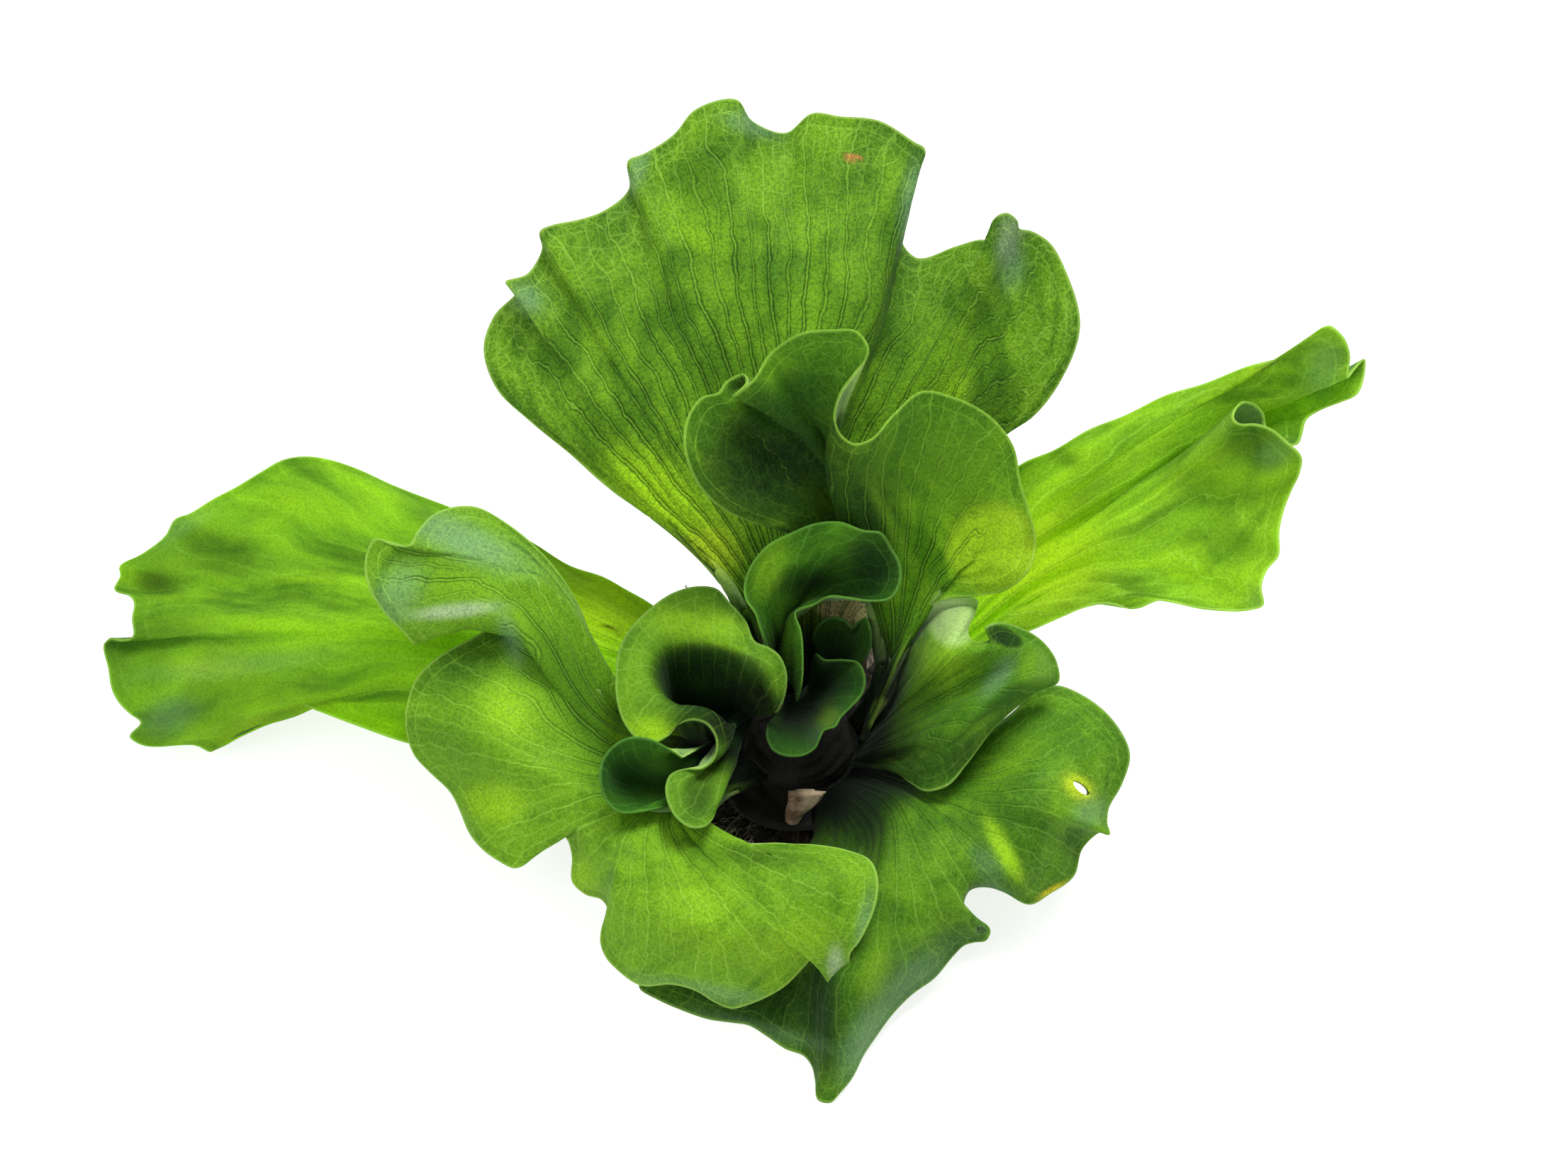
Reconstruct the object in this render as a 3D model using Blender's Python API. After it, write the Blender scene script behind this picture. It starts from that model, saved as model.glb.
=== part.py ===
"""A water lettuce: a rosette of ruffled, spongy leaves on a short stem over a tuft of roots.

Lengths are in millimetres until the meshes are made. The origin is on the surface the plant
rests on, under the middle of the stem. +X is to the right, +Y to the back and +Z up.
"""

from math import cos, pi, radians, sin

import bpy
import numpy as np

METRES = 0.001  # one millimetre

# The view that the leaves were read from: a camera in front, looking down on the crown.
VIEW_PIXELS = (2212, 1659)
VIEW_WIDTH = 180.0  # width of the view at the crown
VIEW_DISTANCE = 520.0  # from the camera to the crown
VIEW_ELEVATION = radians(50)
CROWN_PIXEL = (1130, 1050)
CROWN = np.array((0.0, 0.0, 8.0))

# Stem, roots and the stub of a shed leaf
STEM_PROFILE = (
    (8.5, 5.0), (10.6, 5.2), (10.4, 5.6), (7.0, 5.9), (6.2, 6.6), (6.2, 9.0), (4.6, 11.2), (2.2, 12.0),
)  # (radius, height) from the bottom up
STEM_SIDES = 20
ROOT_TOP = 4.7
ROOT_SIDES = 28
ROOT_REACH = ((0, 24), (60, 25), (95, 31), (118, 35), (140, 31), (180, 24), (240, 22), (300, 22))  # by turn
ROOT_RINGS = ((1.0, 0.0), (1.0, 0.35), (0.82, 0.72), (0.45, 1.0))  # shares of the reach and of the height
# The stub, from its foot up: (across, back, height, width, depth)
STUB_RINGS = (
    (-1.0, -9.4, 6.0, 1.6, 1.4), (-0.6, -9.9, 8.4, 2.4, 1.5), (0.2, -10.3, 10.6, 3.4, 1.3),
    (0.6, -10.5, 12.8, 4.2, 0.9),
)
STUB_SIDES = 10

# Leaf tissue
MARGIN_THICKNESS = 0.9
BASE_THICKNESS = 1.5
INNER_BASE_THICKNESS = 1.2
HEART_THICKNESS = 0.8  # of the young leaves in the crown
STATIONS = (0.0, 0.35, 0.68, 1.0)  # the rows of a leaf: foot, lower rib, upper rib, margin
FOLD_WIDTH = 0.045  # share of the margin's length that its broad folds are smoothed over
RUFFLE_WIDTH = 0.014  # and its ruffles
RUFFLE_FADE = 2.6  # how fast the ruffles fade towards the foot, unless a leaf has its own fade

# Each leaf is read through the view as (pixel across, pixel down, height in mm). The margin runs
# clockwise from one side of the foot round to the other. A rib goes with a point of the margin,
# counted from 0, and gives the two places that its vein passes on the way from the foot.
LEAVES = {
    "back_leaf": {
        "ruffle_fade": 5.0,
        "foot": {"turn": 94, "radius": 7.5, "height": 8.4, "width": 8.4},
        "grid": (19, 8),
        "margin": (
            (1025, 822, 22.5), (1000, 800, 24.2), (950, 755, 27), (900, 717, 29.2),
            (850, 682, 31.3), (800, 637, 33.7), (745, 592, 36.2), (700, 548, 38.6), (682, 490, 41.6),
            (697, 445, 43.8), (728, 410, 46.5), (713, 398, 48.2), (745, 385, 46.8), (765, 350, 48),
            (762, 325, 50.6), (780, 317, 50.4), (815, 310, 50.2), (850, 298, 50.4), (888, 265, 51.4),
            (887, 225, 54.6), (905, 218, 54.6), (950, 190, 56), (980, 155, 58), (1038, 140, 59.4),
            (1060, 170, 56), (1110, 187, 54), (1145, 160, 56), (1185, 164, 57),
            (1240, 170, 57.6), (1290, 200, 57), (1305, 210, 57.6), (1293, 245, 54), (1282, 300, 50),
            (1272, 340, 47.6), (1292, 363, 46.4), (1350, 347, 47.4), (1384, 336, 48.6), (1406, 338, 49.6),
            (1417, 342, 50), (1411, 328, 52), (1400, 315, 54), (1407, 304, 55), (1420, 300, 55.2),
            (1434, 309, 54.2), (1438, 322, 52.2), (1456, 326, 51), (1480, 341, 50), (1505, 385, 47.7),
            (1524, 460, 44), (1495, 540, 39),
            (1460, 585, 36), (1425, 608, 34.2), (1330, 690, 29), (1270, 760, 21.5),
        ),
        "ribs": {
            2: ((1056, 888, 18.6), (1028, 822, 22.8)),
            5: ((1052, 862, 20.4), (955, 745, 28)),
            8: ((1048, 835, 22), (880, 665, 33)),
            14: ((1055, 790, 25), (915, 580, 38.5)),
            23: ((1098, 720, 30), (1068, 430, 48.5)),
            30: ((1130, 740, 28), (1215, 490, 44.6)),
            34: ((1140, 760, 26), (1215, 565, 39)),
            48: ((1165, 775, 24), (1330, 620, 34.4)),
            51: ((1165, 810, 21.6), (1285, 710, 27.6)),
        },
    },
    "back_inner_leaf": {
        "ruffle_fade": 4.0,
        "foot": {"turn": -10, "radius": 7.6, "height": 12.8, "width": 4.0},
        "grid": (25, 8),
        "margin": (
            (1250, 862, 19.4), (1225, 800, 22), (1165, 765, 27), (1115, 750, 31.4), (1065, 737, 36.6),
            (1000, 703, 43), (972, 660, 47), (964, 620, 49), (975, 577, 50), (990, 560, 50.5),
            (1012, 554, 50.5), (1024, 538, 50.5), (1046, 527, 51), (1052, 540, 52), (1034, 558, 52.5),
            (1062, 536, 54), (1085, 500, 55), (1130, 470, 58),
            (1175, 465, 59), (1210, 468, 60), (1225, 490, 59), (1200, 532, 55), (1187, 550, 53.5),
            (1177, 590, 50), (1185, 612, 48.5), (1205, 626, 48), (1228, 620, 48), (1260, 585, 49),
            (1300, 552, 50), (1345, 560, 49), (1400, 590, 46), (1430, 630, 43), (1440, 680, 40),
            (1457, 735, 36), (1462, 770, 33), (1452, 805, 31), (1420, 832, 28), (1370, 842, 26),
            (1325, 846, 25), (1298, 868, 22.6),
        ),
        "ribs": {
            1: ((1238, 945, 16.4), (1254, 868, 19.2)),
            5: ((1243, 935, 17), (1190, 748, 31)),
            19: ((1245, 915, 17.6), (1175, 650, 41.2)),
            22: ((1248, 918, 17.4), (1172, 670, 40.2)),
            25: ((1257, 925, 18), (1205, 715, 37)),
            29: ((1260, 928, 18), (1305, 730, 33)),
            34: ((1262, 935, 18), (1360, 790, 29.4)),
            38: ((1262, 948, 17.6), (1294, 862, 23)),
        },
    },
    "right_leaf": {
        "ruffle_fade": 4.5,
        "foot": {"turn": 10, "radius": 7.0, "height": 7.2, "width": 6.5},
        "grid": (23, 8),
        "margin": (
            (1270, 910, 14), (1330, 790, 21), (1440, 655, 27), (1489, 634, 29), (1536, 606, 31),
            (1590, 585, 33), (1649, 556, 36), (1700, 541, 38), (1763, 516, 41), (1809, 503, 43),
            (1847, 480, 45), (1875, 459, 47), (1893, 472, 46), (1905, 503, 43), (1902, 530, 41),
            (1912, 520, 39.5), (1926, 507, 39), (1925, 530, 38), (1915, 556, 37), (1895, 565, 36.5),
            (1868, 575, 36), (1843, 592, 35.5), (1838, 610, 35), (1831, 626, 35), (1818, 626, 35.5),
            (1795, 612, 36), (1786, 600, 36), (1783, 583, 37), (1772, 571, 38), (1757, 566, 39),
            (1745, 574, 40), (1741, 590, 41), (1752, 598, 42), (1772, 598, 42), (1792, 604, 41.5),
            (1815, 622, 40), (1837, 646, 38), (1834, 667, 36.5), (1822, 693, 34), (1811, 722, 32.5),
            (1805, 751, 31), (1804, 785, 29), (1788, 804, 28), (1780, 827, 27), (1782, 855, 25),
            (1763, 861, 24.5), (1700, 859, 24), (1637, 847, 23.5), (1603, 859, 21.5),
            (1561, 850, 21.5), (1531, 857, 20.5), (1502, 869, 19), (1468, 884, 17.5),
            (1430, 897, 16), (1360, 925, 12.6), (1290, 975, 9),
        ),
        "ribs": {
            3: ((1326, 838, 18), (1410, 730, 24)),
            7: ((1344, 832, 18.4), (1490, 690, 27)),
            11: ((1360, 832, 18.4), (1600, 640, 31)),
            16: ((1372, 836, 18.2), (1640, 655, 30)),
            25: ((1380, 842, 17.8), (1620, 680, 28)),
            29: ((1388, 849, 17.4), (1600, 700, 27)),
            35: ((1396, 856, 17), (1620, 715, 28.5)),
            41: ((1402, 866, 16.4), (1590, 765, 25.5)),
            46: ((1402, 880, 15.4), (1540, 820, 21.5)),
            50: ((1390, 897, 14), (1450, 862, 18)),
        },
    },
    "left_leaf": {
        "ruffle_fade": 4.5,
        "foot": {"turn": 161, "radius": 7.0, "height": 7.2, "width": 7.0},
        "grid": (21, 8),
        "margin": (
            (1010, 1080, 8.4), (880, 1078, 9.8), (720, 1068, 11.4), (579, 1049, 12), (499, 1022, 11.5),
            (448, 1003, 11), (410, 990, 11), (389, 995, 10), (356, 1001, 9), (326, 1007, 7),
            (309, 1020, 5), (301, 1041, 3.5), (297, 1060, 2), (276, 1051, 2.5), (246, 1051, 3),
            (221, 1053, 3), (200, 1051, 3), (183, 1040, 3.5), (198, 1018, 6), (183, 1007, 6.5),
            (168, 992, 7), (158, 974, 7), (153, 945, 7), (147, 908, 7), (154, 901, 8), (168, 904, 9),
            (187, 898, 10.5), (186, 873, 10), (189, 851, 9.5), (183, 841, 9), (161, 830, 7.5),
            (170, 811, 8), (168, 801, 8.5), (200, 782, 10), (234, 755, 11), (246, 733, 12),
            (267, 725, 13), (301, 704, 14), (330, 689, 15), (368, 666, 16.5), (398, 649, 17.5),
            (427, 644, 18), (457, 647, 18), (499, 660, 18), (549, 683, 17), (650, 722, 16),
            (744, 762, 15), (805, 799, 14), (851, 814, 13.5), (885, 833, 13), (912, 848, 12.5),
            (990, 915, 10.5),
        ),
        "ribs": {
            5: ((850, 1010, 13), (640, 1000, 13.5)),
            12: ((840, 985, 13.5), (560, 960, 16)),
            23: ((830, 950, 14.5), (490, 905, 20)),
            29: ((835, 930, 14.5), (490, 870, 20.5)),
            35: ((850, 910, 14.5), (540, 820, 20.5)),
            41: ((870, 895, 14), (640, 790, 19)),
        },
    },
    "front_left_leaf": {
        "foot": {"turn": 214, "radius": 7.0, "height": 9.4, "width": 5.6},
        "grid": (31, 9),
        "margin": (
            (985, 1140, 14.2), (1000, 1180, 17), (1040, 1193, 18.5), (1100, 1190, 19),
            (1159, 1193, 19.5), (1200, 1201, 20), (1226, 1212, 20), (1239, 1240, 20),
            (1236, 1275, 18.5), (1213, 1328, 15.5), (1200, 1345, 13.5), (1197, 1367, 11.5),
            (1184, 1384, 10), (1171, 1387, 9.5), (1165, 1380, 10), (1171, 1358, 12),
            (1167, 1342, 13.5), (1150, 1351, 12.5), (1129, 1370, 11), (1108, 1391, 9.5),
            (1083, 1406, 8.5), (1054, 1418, 7.5), (1033, 1423, 7), (1010, 1415, 7.5),
            (982, 1398, 8.5), (948, 1389, 8.5), (906, 1391, 7), (873, 1370, 6.5), (854, 1349, 7),
            (847, 1328, 8), (850, 1308, 9.5), (858, 1290, 10), (849, 1269, 9), (825, 1261, 8),
            (808, 1245, 8.5), (805, 1212, 11), (795, 1191, 13), (780, 1185, 13), (762, 1196, 12),
            (748, 1216, 10), (728, 1225, 9), (702, 1214, 9), (679, 1197, 9.5), (661, 1174, 10),
            (650, 1147, 11), (637, 1120, 12), (604, 1087, 13), (585, 1066, 14), (575, 1041, 15.5),
            (572, 1005, 18), (577, 982, 19), (587, 957, 20.5), (608, 934, 22), (633, 917, 23),
            (659, 903, 23.5), (684, 889, 24), (699, 876, 24), (690, 868, 24.5), (660, 866, 25),
            (620, 872, 25), (600, 878, 25), (590, 890, 24.5), (585, 908, 24), (570, 893, 26),
            (541, 864, 28), (520, 830, 30), (514, 797, 31), (518, 776, 32), (528, 760, 33),
            (550, 767, 33), (575, 769, 33.5), (590, 747, 33.5), (610, 726, 34), (640, 715, 34),
            (671, 715, 33.5), (713, 737, 32), (767, 783, 29), (809, 841, 25), (836, 910, 21),
            (855, 975, 18), (878, 1044, 14), (945, 1068, 11),
        ),
        "ribs": {
            2: ((990, 1130, 13), (1005, 1175, 16.4)),
            4: ((975, 1140, 13.8), (1060, 1207, 18.5)),
            7: ((962, 1148, 14.4), (1095, 1230, 19.5)),
            13: ((955, 1155, 14.8), (1070, 1280, 19)),
            22: ((940, 1160, 15.2), (995, 1290, 17.5)),
            28: ((915, 1150, 15.4), (890, 1245, 16)),
            40: ((890, 1135, 15.8), (800, 1170, 16.5)),
            49: ((862, 1095, 16.2), (720, 1050, 20.5)),
            54: ((852, 1064, 17), (745, 980, 22)),
            58: ((848, 1042, 17.8), (745, 925, 25)),
            64: ((850, 1026, 18.4), (720, 860, 29)),
            68: ((854, 1018, 18.2), (735, 825, 30)),
            74: ((862, 1012, 17.4), (775, 840, 28)),
            77: ((876, 1037, 15.2), (835, 930, 22)),
        },
    },
    "front_right_leaf": {
        "foot": {"turn": -45, "radius": 7.0, "height": 7.2, "width": 7.0},
        "grid": (25, 8),
        "margin": (
            (1270, 1075, 8.4), (1330, 1070, 12), (1378, 1052, 14.4), (1440, 996, 17), (1460, 975, 18),
            (1490, 967, 18.5), (1524, 979, 18), (1570, 1016, 17), (1594, 1065, 15.5),
            (1582, 1108, 14), (1564, 1141, 12.5), (1562, 1160, 12), (1566, 1177, 12.5),
            (1551, 1174, 11), (1527, 1197, 9.5), (1515, 1236, 8.5), (1481, 1261, 8), (1453, 1276, 8),
            (1417, 1258, 9), (1395, 1252, 9.5), (1372, 1256, 9.5), (1360, 1275, 9), (1363, 1299, 8),
            (1372, 1309, 8), (1385, 1303, 8.5), (1397, 1312, 8), (1392, 1326, 7), (1375, 1329, 6),
            (1361, 1333, 5.5), (1344, 1349, 4.5), (1319, 1379, 3.5), (1285, 1404, 3),
            (1256, 1434, 2.5), (1235, 1463, 2), (1218, 1488, 2), (1201, 1522, 1.5),
            (1184, 1543, 1.2), (1171, 1556, 1), (1155, 1553, 1), (1151, 1526, 1.5),
            (1146, 1505, 1.5), (1134, 1490, 1.5), (1108, 1480, 1.5), (1083, 1463, 1.5),
            (1054, 1446, 1.2), (1033, 1443, 1), (999, 1438, 1), (961, 1425, 1), (927, 1410, 1),
            (902, 1394, 1.5), (940, 1345, 2.4), (1030, 1290, 3.4), (1150, 1225, 5),
        ),
        "ribs": {
            3: ((1312, 1094, 12.4), (1390, 1044, 16)),
            8: ((1314, 1112, 14), (1470, 1085, 18)),
            17: ((1300, 1136, 15.6), (1400, 1215, 14.5)),
            30: ((1262, 1152, 16), (1290, 1290, 13)),
            37: ((1246, 1180, 15.6), (1190, 1370, 11)),
            43: ((1222, 1205, 12), (1130, 1340, 7)),
            47: ((1190, 1205, 9), (1050, 1310, 6)),
        },
    },
    "right_inner_leaf": {
        "foot": {"turn": -24, "radius": 7.2, "height": 9.8, "width": 3.6},
        "grid": (23, 8),
        "margin": (
            (1262, 1000, 11), (1264, 960, 12.6), (1270, 925, 14.6), (1286, 898, 16.6),
            (1296, 866, 18.2), (1318, 846, 20), (1350, 842, 21.8), (1379, 846, 23.2),
            (1376, 864, 24.4), (1366, 884, 25.8), (1374, 904, 27.2), (1392, 906, 27.8),
            (1404, 896, 28.2), (1390, 885, 29), (1405, 878, 29), (1441, 886, 28), (1475, 909, 25.5),
            (1491, 935, 23.5), (1493, 962, 22), (1470, 972, 21.5), (1438, 994, 21), (1400, 1030, 20.4),
            (1365, 1077, 19.4), (1337, 1109, 18.6), (1310, 1117, 17.6), (1285, 1105, 15.8),
            (1266, 1085, 13.4),
        ),
        "ribs": {
            1: ((1246, 1035, 10.6), (1258, 985, 12)),
            4: ((1258, 1010, 12.8), (1284, 925, 18)),
            6: ((1266, 1000, 16), (1322, 910, 26)),
            9: ((1272, 1000, 17), (1350, 920, 27.4)),
            14: ((1276, 1005, 17.6), (1400, 925, 28.2)),
            17: ((1278, 1020, 17.6), (1425, 950, 26.4)),
            20: ((1276, 1035, 17.2), (1388, 992, 25.4)),
            22: ((1270, 1052, 16.4), (1335, 1045, 22.4)),
            25: ((1258, 1068, 13.2), (1278, 1088, 15.6)),
        },
    },
    "left_inner_leaf": {
        "foot": {"turn": 163, "radius": 6.4, "height": 12.6, "width": 4.5},
        "grid": (25, 8),
        "margin": (
            (1038, 1080, 15.4), (1012, 1135, 18.6), (993, 1167, 20.4), (975, 1168, 20.5),
            (955, 1155, 20.5), (941, 1130, 20.5), (939, 1106, 20.5), (947, 1091, 20.5),
            (965, 1086, 20.5), (990, 1085, 20.5), (1004, 1075, 21), (1011, 1055, 21.5),
            (1008, 1037, 22), (995, 1021, 22.5), (975, 1016, 23), (955, 1022, 23), (940, 1040, 22.5),
            (922, 1049, 22), (900, 1044, 22), (880, 1020, 23), (870, 990, 24), (868, 950, 25),
            (873, 915, 25.8), (890, 885, 26.4), (917, 858, 27), (950, 836, 27.3), (985, 827, 27.3),
            (1010, 830, 27.3), (1030, 850, 27), (1052, 875, 26.3), (1066, 905, 25.5), (1085, 913, 25.5),
            (1100, 925, 25.5), (1110, 950, 24), (1106, 985, 22), (1098, 1003, 20.5), (1082, 990, 17.5),
        ),
        "ribs": {
            2: ((1034, 1052, 15.4), (1010, 1118, 18.6)),
            5: ((1022, 1046, 16), (978, 1112, 19.2)),
            8: ((1026, 1038, 16.2), (1000, 1078, 19.4)),
            11: ((1035, 1020, 16), (1025, 1040, 19.6)),
            14: ((1010, 1032, 15.2), (1000, 1010, 22)),
            17: ((988, 1040, 15), (955, 990, 24)),
            20: ((966, 1030, 15), (925, 965, 25)),
            24: ((962, 1000, 14.6), (945, 908, 25)),
            27: ((1010, 1000, 14.4), (1010, 920, 25)),
            31: ((1045, 1000, 14), (1062, 958, 22.5)),
            34: ((1065, 1005, 15.5), (1085, 1000, 19)),
        },
    },
    "heart_leaf_back": {
        "foot": {"turn": 118, "radius": 4.6, "height": 13.4, "width": 3.2},
        "grid": (19, 7),
        "margin": (
            (1100, 975, 16), (1090, 925, 20), (1080, 905, 24), (1072, 885, 26), (1064, 862, 28),
            (1052, 845, 29), (1050, 825, 30), (1058, 800, 31.5), (1083, 769, 33.5), (1115, 752, 35),
            (1151, 738, 36.6), (1185, 736, 36.8), (1219, 748, 36.4), (1242, 751, 36.4), (1258, 773, 34),
            (1270, 795, 32.5), (1271, 820, 31), (1258, 844, 29.5), (1230, 848, 29), (1195, 843, 29),
            (1172, 841, 28.5), (1150, 852, 27), (1122, 864, 25), (1130, 890, 24), (1133, 930, 22),
            (1131, 965, 20.5), (1124, 990, 18.5),
        ),
        "ribs": {
            4: ((1092, 920, 18.5), (1078, 885, 23.5)),
            8: ((1100, 905, 20), (1090, 840, 27)),
            11: ((1105, 895, 20), (1130, 815, 28.4)),
            14: ((1108, 890, 20), (1165, 810, 27.6)),
            17: ((1110, 888, 20), (1170, 832, 25.4)),
            22: ((1108, 905, 19.5), (1115, 880, 22.5)),
            25: ((1105, 945, 16.5), (1118, 955, 18.5)),
        },
    },
    "heart_leaf_centre": {
        "foot": {"turn": 150, "radius": 2.6, "height": 13.2, "width": 2.6},
        "grid": (15, 6),
        "margin": (
            (1146, 972, 14.8), (1150, 922, 19.8), (1165, 931, 21.5), (1190, 931, 22), (1210, 934, 22),
            (1221, 956, 22), (1216, 980, 22), (1200, 998, 22), (1186, 1012, 22), (1178, 1025, 22),
            (1163, 1030, 22), (1156, 1042, 22), (1150, 1055, 21.5), (1135, 1065, 21),
            (1112, 1067, 20.5), (1092, 1060, 20), (1082, 1043, 19.5), (1082, 1022, 17.5),
        ),
        "ribs": {
            3: ((1145, 965, 15.5), (1175, 945, 19)),
            6: ((1150, 985, 15.5), (1185, 978, 19)),
            13: ((1130, 1012, 15), (1130, 1040, 17.5)),
            15: ((1115, 1015, 15), (1105, 1035, 17.5)),
        },
    },
    "heart_leaf_left": {
        "foot": {"turn": 192, "radius": 7.0, "height": 11.4, "width": 2.4},
        "grid": (13, 6),
        "margin": (
            (935, 1140, 18), (905, 1145, 19), (871, 1145, 20), (855, 1130, 21),
            (846, 1100, 23), (850, 1072, 24), (868, 1050, 25), (889, 1040, 25.6),
            (915, 1042, 25.4), (940, 1055, 23.8), (962, 1070, 21.6),
        ),
        "ribs": {
            2: ((968, 1132, 15.2), (905, 1139, 17.8)),
            5: ((960, 1106, 15.2), (880, 1103, 19)),
            8: ((972, 1084, 17.8), (920, 1066, 22)),
        },
    },
    "heart_leaf_small": {
        "foot": {"turn": 55, "radius": 2.8, "height": 13.2, "width": 2.2},
        "grid": (11, 5),
        "margin": (
            (1158, 950, 15.4), (1152, 915, 17.4), (1146, 898, 19.5), (1155, 880, 21), (1172, 870, 22),
            (1192, 874, 22), (1203, 884, 21.5), (1214, 874, 21.5), (1222, 871, 22.2), (1228, 885, 21.8),
            (1230, 910, 20), (1206, 950, 16.4),
        ),
        "ribs": {
            4: ((1170, 945, 15.5), (1172, 905, 18.5)),
            8: ((1185, 945, 15.8), (1212, 905, 19.4)),
        },
    },
}

# Looks of the plain solids: base colour and roughness
LEAF_GREEN = (0.22, 0.42, 0.03, 1.0)
HEART_GREEN = (0.03, 0.13, 0.02, 1.0)
STEM_BROWN = (0.035, 0.03, 0.015, 1.0)
ROOT_GREY = (0.20, 0.16, 0.13, 1.0)
STUB_BEIGE = (0.55, 0.42, 0.33, 1.0)
LEAF_ROUGHNESS = 0.55
DULL_ROUGHNESS = 0.85


def unit(vectors):
    return vectors / np.linalg.norm(vectors, axis=-1, keepdims=True)


# The view

VIEW_RIGHT = np.array((1.0, 0.0, 0.0))
VIEW_UP = np.array((0.0, sin(VIEW_ELEVATION), cos(VIEW_ELEVATION)))
VIEW_AHEAD = np.array((0.0, cos(VIEW_ELEVATION), -sin(VIEW_ELEVATION)))
PIXEL = VIEW_WIDTH / VIEW_PIXELS[0]
FOCAL = VIEW_DISTANCE / PIXEL
MIDDLE = (VIEW_PIXELS[0] / 2, VIEW_PIXELS[1] / 2)
ACROSS = (MIDDLE[0] - CROWN_PIXEL[0]) * PIXEL
RISE = (CROWN_PIXEL[1] - MIDDLE[1]) * PIXEL
EYE = CROWN + ACROSS * VIEW_RIGHT + RISE * VIEW_UP - VIEW_DISTANCE * VIEW_AHEAD


def seen(across, down, height):
    """The point where the sight line through a pixel meets a height."""
    ray = VIEW_AHEAD + (across - MIDDLE[0]) / FOCAL * VIEW_RIGHT + (MIDDLE[1] - down) / FOCAL * VIEW_UP
    return EYE + (height - EYE[2]) / ray[2] * ray


# Smooth curves and leaf surfaces


def knots_of(points, power=0.8):
    """Places 0 to 1 of the points along their line, closer together where the points are."""
    steps = np.linalg.norm(np.diff(points, axis=0), axis=1) ** power
    along = np.concatenate(((0.0,), np.cumsum(steps)))
    return along / along[-1]


def smooth_curve(knots, points, places):
    """A smooth curve through the points at their knots, read at the places."""
    knots = np.asarray(knots, float)
    gaps = np.diff(knots)[:, None]
    slopes = np.diff(points, axis=0) / gaps
    inner = (slopes[:-1] * gaps[1:] + slopes[1:] * gaps[:-1]) / (gaps[1:] + gaps[:-1])
    tangents = np.concatenate((slopes[:1], inner, slopes[-1:]))
    left = np.clip(np.searchsorted(knots, places, side="right") - 1, 0, len(knots) - 2)
    gap = gaps[left]
    x = (np.asarray(places) - knots[left])[:, None] / gap
    start, end = points[left], points[left + 1]
    ease = x * x * (3 - 2 * x)
    leave = tangents[left] * gap * x * (1 - x) ** 2
    arrive = tangents[left + 1] * gap * x * x * (x - 1)
    return start * (1 - ease) + end * ease + leave + arrive


def blurred(points, width):
    """The line of evenly spaced points, smoothed over a share of its length, with its ends kept."""
    spread = width * len(points)
    reach = int(3 * spread) + 1
    weights = np.exp(-0.5 * (np.arange(-reach, reach + 1) / spread) ** 2)
    weights /= weights.sum()
    before = 2 * points[0] - points[reach:0:-1]
    after = 2 * points[-1] - points[-2 : -reach - 2 : -1]
    longer = np.concatenate((before, points, after))
    columns = [np.convolve(column, weights, "valid") for column in longer.T]
    return np.stack(columns, axis=1)


def foot_row(foot, count):
    """The line where a leaf leaves the stem, clockwise as seen from above its outer side."""
    spread = foot["width"] / foot["radius"] / 2
    turns = radians(foot["turn"]) + np.linspace(spread, -spread, count)
    heights = np.full(count, foot["height"])
    return np.stack((foot["radius"] * np.cos(turns), foot["radius"] * np.sin(turns), heights), axis=1)


def rib_row(leaf, knots, station, foot, margin, across):
    """One inner row of a leaf: a smooth line through its ribs, from one side to the other."""
    share = STATIONS[station]
    plain = foot * (1 - share) + margin * share
    places = [0.0]
    points = [plain[0]]
    for index, rib in sorted(leaf["ribs"].items()):
        places.append(knots[index])
        points.append(seen(*rib[station - 1]))
    places.append(1.0)
    points.append(plain[-1])
    return smooth_curve(places, np.array(points), across)


def leaf_sheet(leaf, columns, rows):
    """The middle surface of a leaf, as rows of points from the foot to the margin."""
    outline = np.array([seen(*point) for point in leaf["margin"]])
    knots = knots_of(outline)
    dense = np.linspace(0, 1, 801)
    exact = smooth_curve(knots, outline, dense)
    across = np.linspace(0, 1, columns)
    margins = []
    for line in (blurred(exact, RUFFLE_WIDTH), blurred(exact, FOLD_WIDTH)):
        margins.append(np.stack([np.interp(across, dense, column) for column in line.T], axis=1))
    ruffled, broad = margins
    foot = foot_row(leaf["foot"], columns)
    rib_rows = [rib_row(leaf, knots, station, foot, broad, across) for station in (1, 2)]
    net = np.stack((foot, *rib_rows, broad)).reshape(len(STATIONS), -1)
    up = np.linspace(0, 1, rows)
    up = 1 - (1 - up) ** 1.25
    sheet = smooth_curve(STATIONS, net, up).reshape(rows, columns, 3)
    return sheet + up[:, None, None] ** leaf.get("ruffle_fade", RUFFLE_FADE) * (ruffled - broad)


def sheet_normals(sheet):
    along = np.gradient(sheet, axis=1)
    outwards = np.gradient(sheet, axis=0)
    return unit(np.cross(along, outwards) + 1e-12)


# Meshes


def make_object(name, points, faces, colour, roughness):
    mesh = bpy.data.meshes.new(name)
    mesh.from_pydata([tuple(point) for point in np.asarray(points) * METRES], [], faces)
    mesh.validate()
    mesh.shade_smooth()
    mesh.materials.append(make_material(name, colour, roughness))
    made = bpy.data.objects.new(name, mesh)
    bpy.context.collection.objects.link(made)
    return made


def make_material(name, colour, roughness):
    material = bpy.data.materials.new(name)
    material.use_nodes = True
    shader = material.node_tree.nodes["Principled BSDF"]
    shader.inputs["Base Color"].default_value = colour
    shader.inputs["Roughness"].default_value = roughness
    shader.inputs["Metallic"].default_value = 0.0
    return material


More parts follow.
